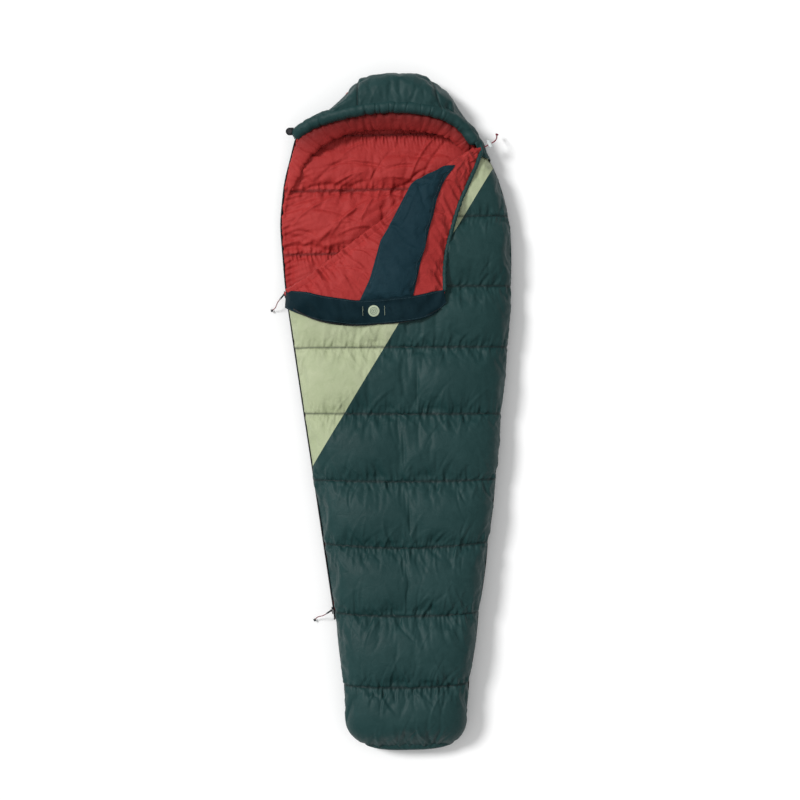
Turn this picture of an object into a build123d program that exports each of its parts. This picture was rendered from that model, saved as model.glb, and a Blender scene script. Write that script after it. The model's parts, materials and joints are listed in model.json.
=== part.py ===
from build123d import *
import math
import os

# A three-season mummy sleeping bag, lying open on a floor, in millimetres.
# X runs across the bag, Y runs from the foot to the hood and Z is up. The underside is at Z = 0,
# and the origin lies under the middle of the bag.

# ---- Driving dimensions ----
PARTING_Z = 40.0          # height of the seam and the zip between the underside and the front
EDGE_ROUND = 40.0         # rounding along the lower edge of the underside
SHELL = 1.2               # thickness given to every woven layer
GAP = 0.3                 # air between one layer and the next
FILL_TOP = 28.5           # insulation in the front and the hood
FILL_BOTTOM = 36.5        # insulation in the underside
ARCH_POWER = 3.2          # how flat the top of each cross-section is
FOOT_END = -1064.0
HOOD_END = 1066.0
FOOTBOX_SEAM = -1000.0
END_RUN = 1010.0          # beyond this distance from the middle the stations belong to the bag's ends

# Stations along the bag: distance along Y, left edge, right edge, height of the arch over the parting seam.
STATIONS = [
    (FOOT_END, -95, 128, 34),
    (-1050, -148, 166, 60),
    (-1020, -186, 188, 84),
    (-940, -193, 196, 96),
    (-843, -204, 211, 100),
    (-640, -222, 243, 100),
    (-405, -252, 279, 98),
    (-205, -278, 306, 94),
    (0, -305, 326, 91),
    (200, -331, 350, 90),
    (389, -355, 366, 90),
    (600, -368, 366, 90),
    (735, -352, 328, 90),
    (830, -324, 288, 91),
    (895, -312, 250, 96),
    (945, -222, 212, 106),
    (1000, -156, 181, 98),
    (1044, -128, 143, 72),
    (HOOD_END, -72, 72, 34),
]

# The fold of the front: it starts at the upper slider and crosses the bag towards the right shoulder.
FOLD_START = (-355.0, 389.0)
FOLD_ANGLE = 36.0
FOLD_LENGTH = 705.0
PLATEAU_Z = PARTING_Z + 90.0
FOLD_Z = PLATEAU_Z + 0.5

# The zip: straight from the lower stop to the upper slider, then round the mouth's left edge.
ZIP_LOW = (-222.0, -640.0)
ZIP_SLOT = 7.5            # depth of the channel that holds the zip
ZIP_HALF_HEIGHT = 14.0
COIL_R = 1.6
COIL_OFFSET = 2.3         # each coil's distance from the parting plane
TAPE = 1.0

# The hood's rim and the padded roll under it.
RIM_R = 19.0
RIM_LOWEST = 58.0         # height of the rim's middle where it comes down to the neck
ROLL_R = 19.0
WIDE = 460.0              # plan regions reach this far to either side, beyond the bag
BAY_CRUMB = 20000.0       # a bay's corner smaller than this joins no strip
CRUMB = 0.005             # a solid smaller than this share of its node's largest is left out

# Cords, sliders and the cord lock.
CORD_R = 2.0
PULL_CORD_R = 1.4
KNOT_R = 5.4
CORNER_SHARE = 0.45       # share of a cord's shorter run that each corner's arc takes up
LOCK_R = 6.5
PLATE_LENGTH = 22.0       # of a slider, along the zip
PIN_DEPTH = -6.0          # a slider's pin stands outside the parting plane's edge
LUG_SPREAD = 4.2          # height of each lug over and under the pull tab
PIN_R = 0.9
EYE_R = 2.4
CORD_EYE_AT = 15.5        # distance of the pull tab's cord eye from the pin

os.makedirs("parts", exist_ok=True)


def write(node, shape):
    """Name a sub-part after its node and write its STEP file, without the crumbs that a cut leaves."""
    solids = shape.solids()
    largest = max(solid.volume for solid in solids)
    solids = [solid for solid in solids if solid.volume > largest * CRUMB]
    shape = solids[0] if len(solids) == 1 else Compound(children=solids)
    shape.label = node
    export_step(shape, "parts/" + node + ".step")


def along_fold(distance, side=0.0):
    """A plan point on the fold line; side is measured to its upper left."""
    turn = math.radians(FOLD_ANGLE)
    x = FOLD_START[0] + distance * math.cos(turn) - side * math.sin(turn)
    y = FOLD_START[1] + distance * math.sin(turn) + side * math.cos(turn)
    return (x, y)


def edges_at(y):
    """Left edge, right edge and arch height of the bag at a distance along it."""
    for (y0, l0, r0, h0), (y1, l1, r1, h1) in zip(STATIONS, STATIONS[1:]):
        if y <= y1:
            share = (y - y0) / (y1 - y0)
            return (l0 + share * (l1 - l0), r0 + share * (r1 - r0), h0 + share * (h1 - h0))
    return STATIONS[-1][1:]


def top_z(x, y):
    """Height of the outer surface of the arch above a plan point."""
    left, right, height = edges_at(y)
    middle, half = (left + right) / 2, (right - left) / 2
    offset = min(abs(x - middle) / half, 1.0)
    return PARTING_Z + height * (1 - offset**ARCH_POWER) ** (1 / ARCH_POWER)


def station_y(y, depth):
    """End stations move inwards with the depth of the layer, and the others stay."""
    if abs(y) < END_RUN:
        return y
    return y - math.copysign(depth, y)


def arch_face(y, left, right, height, depth):
    """The arch's cross-section, that far inside the outer surface, closed along the parting plane."""
    middle, half, tall = (left + right) / 2, (right - left) / 2 - depth, height - depth
    points = []
    for step in range(13):
        turn = math.pi * (1 - step / 12)
        c, s = math.cos(turn), math.sin(turn)
        x = middle + half * math.copysign(abs(c) ** (2 / ARCH_POWER), c)
        z = PARTING_Z + tall * abs(s) ** (2 / ARCH_POWER)
        points.append((x, station_y(y, depth), z))
    curve = Spline(*points)
    return make_face([curve, Line(curve @ 1, curve @ 0)])


def tray_face(y, left, right, depth):
    """The underside's cross-section, that far inside the outer surface: flat, with rounded lower edges."""
    at = station_y(y, depth)
    low_l, low_r = left + depth, right - depth
    r = EDGE_ROUND - depth
    rise = r * (1 - math.sqrt(0.5))
    a1 = ThreePointArc((low_l, at, PARTING_Z), (low_l + rise, at, depth + rise), (low_l + r, at, depth))
    base = Line((low_l + r, at, depth), (low_r - r, at, depth))
    a2 = ThreePointArc((low_r - r, at, depth), (low_r - rise, at, depth + rise), (low_r, at, PARTING_Z))
    return make_face([a1, base, a2, Line(a2 @ 1, a1 @ 0)])


def arch_solid(depth):
    return loft([arch_face(y, l, r, h, depth) for y, l, r, h in STATIONS], ruled=True)


def tray_solid(depth):
    return loft([tray_face(y, l, r, depth) for y, l, r, h in STATIONS], ruled=True)


def prism(outline, low=-10.0, high=400.0):
    """A plan outline, straight between its points, carried through a range of heights."""
    flat = make_face(Polyline(*[(x, y, low) for x, y in outline], close=True))
    return extrude(flat, amount=high - low, dir=(0, 0, 1))


def curved_prism(edges, low, high):
    """The same for an outline of curves that are drawn at height 0."""
    return extrude(make_face(edges), amount=high - low, dir=(0, 0, 1)).moved(Location((0, 0, low)))


def tube(points, radius, bore=0.0):
    """A round tube along a smooth line through the points."""
    path = Spline(*points)
    plane = Plane(origin=path @ 0, z_dir=path % 0)
    outer = sweep(plane * Circle(radius), path=path)
    if bore > 0:
        outer = outer - sweep(plane * Circle(bore), path=path)
    return outer


def corded(points, radius):
    """A round cord along straight runs that tangent arcs join."""
    radii = []
    for before, at, after in zip(points, points[1:], points[2:]):
        a = Vector(*at) - Vector(*before)
        b = Vector(*after) - Vector(*at)
        turn = math.radians(a.get_angle(b))
        radii.append(CORNER_SHARE * min(a.length, b.length) / math.tan(turn / 2))
    path = FilletPolyline(*points, radius=radii)
    return sweep(Plane(origin=path @ 0, z_dir=path % 0) * Circle(radius), path=path)


# ---- Plan regions ----
fold_foot = along_fold(-80, -0.6)
fold_head = along_fold(FOLD_LENGTH, -0.6)
RIM_LINE = [
    (-292, 894), (-262, 909), (-170, 934), (-70, 950), (30, 951),
    (130, 936), (200, 905), (238, 866), (258, 816),
]
rim_points = []
for x, y in RIM_LINE:
    rim_points.append((x, y, max(top_z(x, y) - RIM_R, RIM_LOWEST)))
NECK_SPLIT_Y = 800.0
rim_end = rim_points[-1]
tail_route = [
    (rim_end[0] + 1.5, rim_end[1] - 2.5, rim_end[2]), (286, 828.5, 74), (313, 842, 74),
    (321, 852, 63), (323, 861, 48), (324, 867, 36),
]
neck_joint = (246, NECK_SPLIT_Y)
front_joint = (246, NECK_SPLIT_Y - 0.4)
rim_to_left = [(-330, 876), (-WIDE, 876)]
mouth_region = prism([fold_foot, fold_head, neck_joint] + RIM_LINE[:0:-1] + rim_to_left + [(-WIDE, 300)])
hood_region = prism(
    rim_to_left[::-1] + RIM_LINE[1:] + [neck_joint, (WIDE, NECK_SPLIT_Y), (WIDE, 1200), (-WIDE, 1200)]
)
front_region = prism([
    (-WIDE, FOOTBOX_SEAM), (WIDE, FOOTBOX_SEAM), (WIDE, NECK_SPLIT_Y - 0.4),
    front_joint, fold_head, fold_foot, (-WIDE, fold_foot[1]),
])
foot_region = prism([
    (-WIDE, -1200), (WIDE, -1200), (WIDE, FOOTBOX_SEAM - 0.4), (-WIDE, FOOTBOX_SEAM - 0.4),
])

# The light corner of the shell lies between the fold, the zip and this seam.
CORNER_SEAM = [(-300, -205), (-239, -58), (-35, 276), (190, 572), (300, 752)]

# ---- Nested layers ----
depths = [0.0, SHELL]
depths += [depths[-1] + GAP, depths[-1] + GAP + FILL_TOP]
depths += [depths[-1] + GAP, depths[-1] + GAP + SHELL]
arches = [arch_solid(d) for d in depths]
arch_shell = arches[0] - arches[1]
arch_fill = arches[2] - arches[3]
arch_liner = arches[4] - arches[5]

tray_depths = [0.0, SHELL, SHELL + GAP, SHELL + GAP + FILL_BOTTOM]
trays = [tray_solid(d) for d in tray_depths]
tray_shell = trays[0] - trays[1]
tray_fill = trays[2] - trays[3]

# ---- The zip's channel along the left edge ----
zip_run = math.dist(ZIP_LOW, FOLD_START)
zip_dir = ((FOLD_START[0] - ZIP_LOW[0]) / zip_run, (FOLD_START[1] - ZIP_LOW[1]) / zip_run)
zip_out = (-zip_dir[1], zip_dir[0])


def zip_point(distance, depth=0.0):
    """A plan point on the straight zip: distance from the lower stop, depth into the bag."""
    return (
        ZIP_LOW[0] + distance * zip_dir[0] - depth * zip_out[0],
        ZIP_LOW[1] + distance * zip_dir[1] - depth * zip_out[1],
    )


MOUTH_EDGE = [(-355, 389), (-368, 600), (-352, 735), (-324, 830), (-314, 874)]


def mouth_edge(depth):
    """The mouth's left edge, moved into the bag by a depth."""
    return [(x + depth, y) for x, y in MOUTH_EDGE]


def strip(line, thickness, low, high):
    """An upright strip of tape whose outer face follows a plan line and whose body lies to its right."""
    near = [(x, y, low) for x, y in line]
    far = [(x + thickness, y, low) for x, y in reversed(line)]
    flat = make_face(Polyline(*near, *far, close=True))
    return extrude(flat, amount=high - low, dir=(0, 0, 1))


slot_low, slot_high = PARTING_Z - ZIP_HALF_HEIGHT, PARTING_Z + ZIP_HALF_HEIGHT
slot_outline = [zip_point(-14, -20), zip_point(-14, ZIP_SLOT)]
slot_outline += [zip_point(zip_run, ZIP_SLOT)] + mouth_edge(ZIP_SLOT)[1:]
slot_outline += [(-400, 874), (-400, 389)]
zip_slot = prism(slot_outline, slot_low, slot_high)

# ---- Underside ----
write("bottom_shell", tray_shell - foot_region - zip_slot)
write("bottom_insulation", tray_fill - foot_region - zip_slot)
liner_low = SHELL + 2 * GAP + FILL_BOTTOM
LINER_INSET = liner_low + 3.0
liner_outline = [(l + LINER_INSET, y) for y, l, r, h in STATIONS[3:-2]]
liner_outline += [(r - LINER_INSET, y) for y, l, r, h in reversed(STATIONS[3:-2])]
write("bottom_liner", prism(liner_outline, liner_low, liner_low + SHELL))

# ---- Front, with its light corner panel ----
rim_room = tube(rim_points, RIM_R + GAP)
roll_points = [
    (-292, 800, 60), (-268, 838, 61), (-200, 884, 62), (-90, 905, 62), (30, 906, 62), (120, 893, 62),
    (178, 860, 61), (190, 838, 60),
]
front_shell = (arch_shell & front_region) - zip_slot
corner_region = prism([(-WIDE, -205)] + CORNER_SEAM + [(300, 1200), (-WIDE, 1200)])
write("front_shell_corner", front_shell & corner_region)
write("front_shell_main", front_shell - corner_region)


def strip_region(y0, y1, low_share, high_share):
    """A plan strip between two stations; the shares run from -1 at the left edge to 1 at the right one."""
    corners = []
    for y, shares in ((y0, (low_share, high_share)), (y1, (high_share, low_share))):
        left, right, height = edges_at(y)
        for share in shares:
            corners.append(((left + right) / 2 + share * (right - left) / 2, y))
    return prism(corners)


# The fill is cut into the bays between the quilting seams, and each bay into strips round the arch.
BAY_ENDS = [FOOTBOX_SEAM, -843, -640, -405, -205, 0, 200, 389, 600, 735, 804]
STRIP_SHARES = [-1.1, -0.9, -0.66, 0.66, 0.9, 1.1]
front_fill = (arch_fill & front_region) - zip_slot
bays = []
for y0, y1 in zip(BAY_ENDS, BAY_ENDS[1:]):
    bay = front_fill & prism([(-WIDE, y0), (WIDE, y0), (WIDE, y1), (-WIDE, y1)])
    for low_share, high_share in zip(STRIP_SHARES, STRIP_SHARES[1:]):
        piece = bay & strip_region(y0, y1, low_share, high_share)
        bays += [solid for solid in piece.solids() if solid.volume > BAY_CRUMB]
write("front_insulation", Compound(children=bays))
write("front_liner", (arch_liner & front_region) - zip_slot)

# ---- Footbox: its three layers close the foot end ----
write("footbox_shell", (arch_shell & foot_region) + (tray_shell & foot_region))
write("footbox_insulation", (arch_fill & foot_region) + (tray_fill & foot_region))
write("footbox_liner", arch_liner & foot_region)

# ---- Hood: centre panel between two gussets, insulation, lining, rim tube and drawcord ----
tail_room = corded(tail_route, CORD_R + 0.5)
hood_shell = (arch_shell & hood_region) - rim_room
GUSSET_LEFT = [(-WIDE, 800), (-WIDE, 1200), (-122, 1200), (-122, 1040), (-196, 900), (-230, 800)]
GUSSET_RIGHT = [(WIDE, 700), (WIDE, 1200), (150, 1200), (138, 1040), (160, 900), (200, 700)]
write("hood_shell_left", hood_shell & prism(GUSSET_LEFT))
write("hood_shell_right", (hood_shell & prism(GUSSET_RIGHT)) - tail_room)
write("hood_shell_centre", hood_shell - prism(GUSSET_LEFT) - prism(GUSSET_RIGHT))
hood_fill = (arch_fill & hood_region) - rim_room - tail_room
HOOD_CUTS_X = [-WIDE, -190, -110, 20, 120, 190, WIDE]
HOOD_CUTS_Y = [780, 990, 1200]
hood_bays = []
for x0, x1 in zip(HOOD_CUTS_X, HOOD_CUTS_X[1:]):
    for y0, y1 in zip(HOOD_CUTS_Y, HOOD_CUTS_Y[1:]):
        piece = hood_fill & prism([(x0, y0), (x1, y0), (x1, y1), (x0, y1)])
        hood_bays += [solid for solid in piece.solids() if solid.volume > BAY_CRUMB]
write("hood_insulation", Compound(children=hood_bays))
write("hood_liner", (arch_liner & hood_region) - rim_room)
write("hood_rim_tube", tube(rim_points, RIM_R, RIM_R - SHELL) - tail_room)
write("hood_rim_padding", tube(rim_points, RIM_R - SHELL - GAP, CORD_R + GAP) - tail_room)
write("hood_drawcord", tube(rim_points, CORD_R))
write("hood_face_roll", tube(roll_points, ROLL_R))

# ---- Zip: tapes, coils and stops ----
tape_line = [zip_point(-8, 4.0), zip_point(zip_run, 4.0)] + mouth_edge(4.0)[1:]
write("zip_lower_tape", strip(tape_line, TAPE, slot_low + 0.5, PARTING_Z - 1.0))
write("zip_upper_tape", strip(tape_line[:2], TAPE, PARTING_Z + 1.0, slot_high - 0.5))
coil_plan = [zip_point(-6, 2.0), zip_point(zip_run - 2, 2.0)]


def chain(start, end, z):
    """A coil's envelope: a round bar between two plan points."""
    path = Line((*start, z), (*end, z))
    return sweep(Plane(origin=path @ 0, z_dir=path % 0) * Circle(COIL_R), path=path)


write("zip_lower_coil", chain(*coil_plan, PARTING_Z - COIL_OFFSET))
write("zip_upper_coil", chain(*coil_plan, PARTING_Z + COIL_OFFSET))
mouth_plan = [(-353.6, 392)] + mouth_edge(COIL_R)[1:-1] + [(-315, 866)]
mouth_coil = [(x, y, PARTING_Z - COIL_OFFSET) for x, y in mouth_plan]
write("zip_mouth_coil", tube(mouth_coil, COIL_R))


def block(centre, along, across, tall, turn):
    """A rectangular block turned about Z."""
    return Pos(*centre) * Rot(0, 0, turn) * Box(along, across, tall)


zip_turn = math.degrees(math.atan2(zip_dir[1], zip_dir[0]))
write("zip_bottom_stop", block((*zip_point(-9, 1.2), PARTING_Z), 4, 4.6, 10, zip_turn))
top_stop_at = (-314.5, 870.0)
write("zip_top_stop", block((*top_stop_at, PARTING_Z), 3, 4, 8, 0))


# ---- Sliders and their pulls ----
def slider(distance, foot_side):
    """Two plates on either side of the coils, a web between the rows and two lugs with a pin."""
    outer_depth, inner_depth, web_depth, web_length = -1.9, 6.2, 2.5, 7.0
    outer = block((*zip_point(distance, outer_depth), PARTING_Z), PLATE_LENGTH, 2.6, 14, zip_turn)
    inner = block((*zip_point(distance, inner_depth), PARTING_Z), PLATE_LENGTH, 1.6, 12, zip_turn)
    web_at = zip_point(distance - web_length * foot_side, web_depth)
    web = block((*web_at, PARTING_Z), web_length, inner_depth - outer_depth - 1.1, 1.0, zip_turn)
    body = outer + inner + web
    for side in (-1, 1):
        lug_at = zip_point(distance, PIN_DEPTH + 0.4)
        body += block((*lug_at, PARTING_Z + side * LUG_SPREAD), 6, 5.0, 1.6, zip_turn)
    pin = Pos(*zip_point(distance, PIN_DEPTH), PARTING_Z) * Cylinder(PIN_R, 2 * LUG_SPREAD)
    return body + pin


def pull_tab(distance, turn):
    """A flat tab with an eye round the slider's pin and a slotted end for the cord."""
    width, thick = 5.0, 2.0
    tip = CORD_EYE_AT + 0.5
    body = Cylinder(EYE_R, 6.0) + Pos(tip / 2 + 0.5, 0, 0) * Box(tip - 1, width, thick)
    body += Pos(tip, 0, 0) * Cylinder(width / 2, thick)
    body = body - Cylinder(PIN_R + 0.1, 7.0) - Pos(CORD_EYE_AT, 0, 0) * Cylinder(1.0, 3.0)
    return Pos(*zip_point(distance, PIN_DEPTH), PARTING_Z) * Rot(0, 0, turn) * body


def pull_route(distance, turn, sway):
    """The pull cord's corner points: out of the tab, down over the edge and along the floor."""
    x, y = zip_point(distance, PIN_DEPTH)
    out = math.radians(turn)
    points = []
    for reach, side, z in [(18.8, 0, 40), (29, 0, 38), (39, sway, 30), (49, 2 * sway, 21), (58, sway, 12)]:
        points.append((
            x + reach * math.cos(out) - side * math.sin(out),
            y + reach * math.sin(out) + side * math.cos(out),
            z,
        ))
    return points


def knot(points):
    """A round knot at the cord's free end."""
    end = Vector(*points[-1])
    way = (end - Vector(*points[-2])).normalized()
    return Pos(*tuple(end + way * KNOT_R)) * Sphere(KNOT_R)


SLIDERS = {"upper": (zip_run - 12, 1, 228.0, 3.0), "lower": (6.0 + 12, -1, 212.0, -3.0)}
for name, (distance, foot_side, turn, sway) in SLIDERS.items():
    write(name + "_slider", slider(distance, foot_side))
    write(name + "_pull_tab", pull_tab(distance, turn))
    route = pull_route(distance, turn, sway)
    write(name + "_pull_cord", corded(route, PULL_CORD_R))
    write(name + "_pull_knot", knot(route))

# ---- Flap: the folded corner of the front, lining side up ----
flap_edges = [Line((*along_fold(14, -0.6), 0), (*along_fold(692, -0.6), 0))]
neck_line = [(250, 772), (222, 700), (186, 607), (160, 520), (147, 440), (150, 372)]
zip_line = [(132, 322), (62, 292), (-38, 279), (-140, 276), (-250, 294), (-325, 332)]
neck_edge = Spline(*[(x, y, 0) for x, y in neck_line])
zip_edge = Spline(*[(x, y, 0) for x, y in zip_line])
flap_edges += [Line((*along_fold(692, -0.6), 0), neck_edge @ 0), neck_edge]
flap_edges += [Line(neck_edge @ 1, zip_edge @ 0), zip_edge, Line(zip_edge @ 1, flap_edges[0] @ 0)]
FLAP_FILL = 22.0
flap_z = [PLATEAU_Z + 1.0]
flap_z += [flap_z[0] + SHELL, flap_z[0] + SHELL + GAP, flap_z[0] + SHELL + GAP + FLAP_FILL]
flap_z += [flap_z[3] + GAP, flap_z[3] + GAP + SHELL]
write("flap_shell", curved_prism(flap_edges, flap_z[0], flap_z[1]))
write("flap_insulation", curved_prism(flap_edges, flap_z[2], flap_z[3]))
write("flap_liner", curved_prism(flap_edges, flap_z[4], flap_z[5]))
on_liner = flap_z[5] + GAP

COLLAR_LOFT = 20.0
collar_in = Spline(
    (166, 732, 0), (108, 702, 0), (48, 655, 0), (2, 598, 0), (-48, 520, 0), (-84, 430, 0), (-100, 372, 0)
)
collar_out = Spline((52, 372, 0), (72, 459, 0), (102, 565, 0), (126, 658, 0), (166, 732, 0))
write("draft_collar", curved_prism(
    [collar_in, Line(collar_in @ 1, collar_out @ 0), collar_out], on_liner, on_liner + COLLAR_LOFT))

# The stiff band behind the flap's zip edge, with its round patch.
BAND_THICK = 2.5
BADGE_R = 17.5
band_low = Spline((144, 352, 0), (62, 295, 0), (-38, 282, 0), (-140, 279, 0), (-248, 296, 0), (-322, 334, 0))
band_high = Spline((-300, 388, 0), (-248, 368, 0), (-140, 350, 0), (-38, 345, 0), (62, 352, 0), (140, 368, 0))
band_edges = [band_low, Line(band_low @ 1, band_high @ 0), band_high, Line(band_high @ 1, band_low @ 0)]
write("zip_band", curved_prism(band_edges, on_liner, on_liner + BAND_THICK))
badge_at = (-75.0, 316.0)
write("badge", Pos(*badge_at, on_liner + BAND_THICK + GAP + 1.0) * Cylinder(BADGE_R, 2.0))

PIPING_R = 3.0
piping_z = flap_z[3] - FLAP_FILL / 4
neck_pipe = [(x + PIPING_R + 1.0, y, piping_z) for x, y in neck_line[:-1]]
write("neck_piping", tube(neck_pipe, PIPING_R))
tape_edge = zip_edge.moved(Location((0, -1.5, flap_z[2])))
tape_back = tape_edge.moved(Location((0, TAPE, 0)))
tape_ends = [Line(tape_edge @ 1, tape_back @ 1), Line(tape_back @ 0, tape_edge @ 0)]
tape_face = make_face([tape_edge, tape_back] + tape_ends)
write("flap_zip_tape", extrude(tape_face, amount=16, dir=(0, 0, 1)))
flap_coil = [(x, y - 1.8 - COIL_R, flap_z[2] + 4.0) for x, y in zip_line]
write("flap_zip_coil", tube(flap_coil, COIL_R))

# ---- Cord lock at the hood's right end, and the tab at its left end ----
LOCK_TURN = 116.57        # the button points away from the bag, across the cord
LOCK_PRESS = 3.0
lock_at = [(a + b) / 2 for a, b in zip(tail_route[1], tail_route[2])]
lock_place = Pos(*lock_at) * Rot(0, 0, LOCK_TURN) * Rot(0, 90, 0)
cord_hole = Rot(90, 0, 0) * Cylinder(CORD_R + 0.4, 20)
barrel = Cylinder(LOCK_R, 20) - Pos(0, 0, 3.0) * Cylinder(LOCK_R - 1.5, 22) - cord_hole
slot_r = CORD_R + 0.6
cord_slot = Rot(90, 0, 0) * Cylinder(slot_r, 20)
cord_slot += Pos(0, 0, LOCK_PRESS / 2) * Box(2 * slot_r, 20, LOCK_PRESS)
cord_slot += Pos(0, 0, LOCK_PRESS) * Rot(90, 0, 0) * Cylinder(slot_r, 20)
button = Pos(0, 0, 5.0) * Cylinder(LOCK_R - 1.8, 18) - Pos(0, 0, 0.4) * cord_slot
write("cord_lock_barrel", lock_place * barrel)
write("cord_lock_button", lock_place * button)
write("drawcord_tail", corded(tail_route, CORD_R))
write("drawcord_knot", knot(tail_route))

TAB_HINGE = Pos(-316.0, 889.0, 66.0)
TAB_REACH, TAB_R, TAB_THICK = 13.0, 12.0, 2.0
SNAP_R, SNAP_THICK, SNAP_LIFT = 7.0, 2.0, 0.2
tab = Pos(-TAB_REACH / 2, 0, 0) * Box(TAB_REACH, 2 * TAB_R, TAB_THICK)
tab += Pos(-TAB_REACH, 0, 0) * Cylinder(TAB_R, TAB_THICK)
snap_z = TAB_THICK / 2 + SNAP_LIFT + SNAP_THICK / 2
write("neck_tab", TAB_HINGE * tab)
write("neck_tab_snap", TAB_HINGE * Pos(-TAB_REACH, 0, snap_z) * Cylinder(SNAP_R, SNAP_THICK))
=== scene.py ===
# %% [markdown]
# # A mummy sleeping bag, lying open
# The bag is a tapered quilted tube with a hood. Its front is unzipped at the upper left, and that
# corner is folded back so that the red lining and the navy draft collar show. The CAD model is the
# frame: every piece below takes its place from it, and most ride on one of its bodies.

# %% Load the frame
import json
import math

import bmesh
import bpy
import numpy as np
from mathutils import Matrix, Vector
from mathutils.bvhtree import BVHTree


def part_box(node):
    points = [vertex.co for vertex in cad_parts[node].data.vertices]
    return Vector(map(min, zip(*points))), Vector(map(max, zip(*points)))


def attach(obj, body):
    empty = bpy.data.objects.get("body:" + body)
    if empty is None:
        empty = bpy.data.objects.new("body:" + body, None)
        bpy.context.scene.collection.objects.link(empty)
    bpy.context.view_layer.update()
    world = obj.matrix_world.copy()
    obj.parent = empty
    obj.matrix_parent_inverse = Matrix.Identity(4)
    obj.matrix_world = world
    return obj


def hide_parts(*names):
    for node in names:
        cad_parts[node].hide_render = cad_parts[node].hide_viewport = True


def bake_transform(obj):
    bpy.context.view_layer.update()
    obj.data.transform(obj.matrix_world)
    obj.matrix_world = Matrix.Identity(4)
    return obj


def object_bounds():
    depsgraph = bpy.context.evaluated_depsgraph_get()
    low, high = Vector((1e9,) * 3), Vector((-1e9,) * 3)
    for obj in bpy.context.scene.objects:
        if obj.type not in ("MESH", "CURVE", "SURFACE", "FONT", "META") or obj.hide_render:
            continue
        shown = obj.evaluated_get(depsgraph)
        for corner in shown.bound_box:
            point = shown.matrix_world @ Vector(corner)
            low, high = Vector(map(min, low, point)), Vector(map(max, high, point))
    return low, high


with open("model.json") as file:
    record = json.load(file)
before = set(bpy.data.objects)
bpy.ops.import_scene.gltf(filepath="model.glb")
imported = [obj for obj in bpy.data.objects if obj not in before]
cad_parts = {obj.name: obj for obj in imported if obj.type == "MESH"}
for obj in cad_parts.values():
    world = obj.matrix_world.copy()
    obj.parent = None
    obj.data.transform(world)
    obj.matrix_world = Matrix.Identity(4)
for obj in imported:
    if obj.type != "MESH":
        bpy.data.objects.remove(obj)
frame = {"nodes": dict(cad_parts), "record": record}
cad_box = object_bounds()
rng = np.random.default_rng(7)
joints = {j["name"]: j for j in frame["record"]["behaviour"]["joints"]}
print("CAD box", [[round(c, 3) for c in corner] for corner in cad_box])

# %% [markdown]
# ## Camera, light and floor
# The bag is seen from straight above, turned by a little over one degree, through a long lens so
# that the hood and the foot are drawn at the same scale. A soft sun stands at the upper left, so
# the bag's own height gives a soft shadow on its right. The world is white, brightest overhead.

# %% Camera
VIEW_WIDTH = 2.504        # metres seen from side to side at the height below
VIEW_HEIGHT = 0.1         # about the middle of the bag's height
LENS, SENSOR = 100.0, 36.0
CAMERA_TURN = -0.0204     # radians about the upright axis
camera_data = bpy.data.cameras.new("camera")
camera_data.lens = LENS
camera_data.sensor_width = SENSOR
camera_data.clip_end = 50.0
camera = bpy.data.objects.new("camera", camera_data)
bpy.context.scene.collection.objects.link(camera)
camera.location = (0.001, 0.0375, VIEW_WIDTH * LENS / SENSOR + VIEW_HEIGHT)
camera.rotation_euler = (0, 0, CAMERA_TURN)
bpy.context.scene.camera = camera
print("camera stands", round(camera.location.z, 2), "m above the floor")

# %% [markdown]
# A small sun gives hard shadows and a wide one soft shadows, so the sun's angle is set wide. The
# sky is a gradient: weak at the horizon and strong overhead, so that upright sides stay darker.

# %% Sun and sky
SUN_POWER, SUN_ANGLE, SUN_PLACE = 2.3, 0.28, (-1.8, 0.95, 2.2)
HORIZON_GLOW, ZENITH_GLOW = 0.06, 0.86


def sun(name, power, softness, place):
    """A soft sun that shines from a place towards the origin."""
    data = bpy.data.lights.new(name, "SUN")
    data.energy = power
    data.angle = softness
    lit = bpy.data.objects.new(name, data)
    bpy.context.scene.collection.objects.link(lit)
    lit.location = place
    lit.rotation_euler = (-Vector(place)).to_track_quat("-Z", "Y").to_euler()


sun("key_sun", SUN_POWER, SUN_ANGLE, SUN_PLACE)

world = bpy.data.worlds.new("studio")
world.use_nodes = True
world.node_tree.nodes["Background"].inputs["Color"].default_value = (1, 1, 1, 1)
sky = world.node_tree
direction = sky.nodes.new("ShaderNodeTexCoord")
upward = sky.nodes.new("ShaderNodeSeparateXYZ")
glow = sky.nodes.new("ShaderNodeMapRange")
glow.inputs["To Min"].default_value = HORIZON_GLOW
glow.inputs["To Max"].default_value = ZENITH_GLOW
sky.links.new(direction.outputs["Generated"], upward.inputs[0])
sky.links.new(upward.outputs["Z"], glow.inputs["Value"])
sky.links.new(glow.outputs[0], sky.nodes["Background"].inputs["Strength"])
bpy.context.scene.world = world
bpy.context.scene.view_settings.view_transform = "Standard"
print("one sun of", SUN_POWER, "and a sky from", HORIZON_GLOW, "to", ZENITH_GLOW)


# %% [markdown]
# ## Fabrics
# The shell and the lining are light nylon taffeta: thin, closely woven and a little shiny. At the
# scale of a whole bag its weave shows as a fine tooth, and its character comes from small creases.
# Each fabric therefore mixes three scales: a fine cross weave, soft creases, whose hollows also get a
# darker colour as painted crease shade, and a broad change of tone where the dye and the wear differ.
# A mesh can also carry a "seam" value, and the cloth is darker where that is high. This is painted
# shade for the hollow where a sewn seam sinks between the two panels beside it, and for the cloth
# tucked under the hood's rim.

# %% Material helpers
def node(tree, kind, **inputs):
    made = tree.nodes.new(kind)
    for key, value in inputs.items():
        made.inputs[key.replace("_", " ")].default_value = value
    return made


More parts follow.
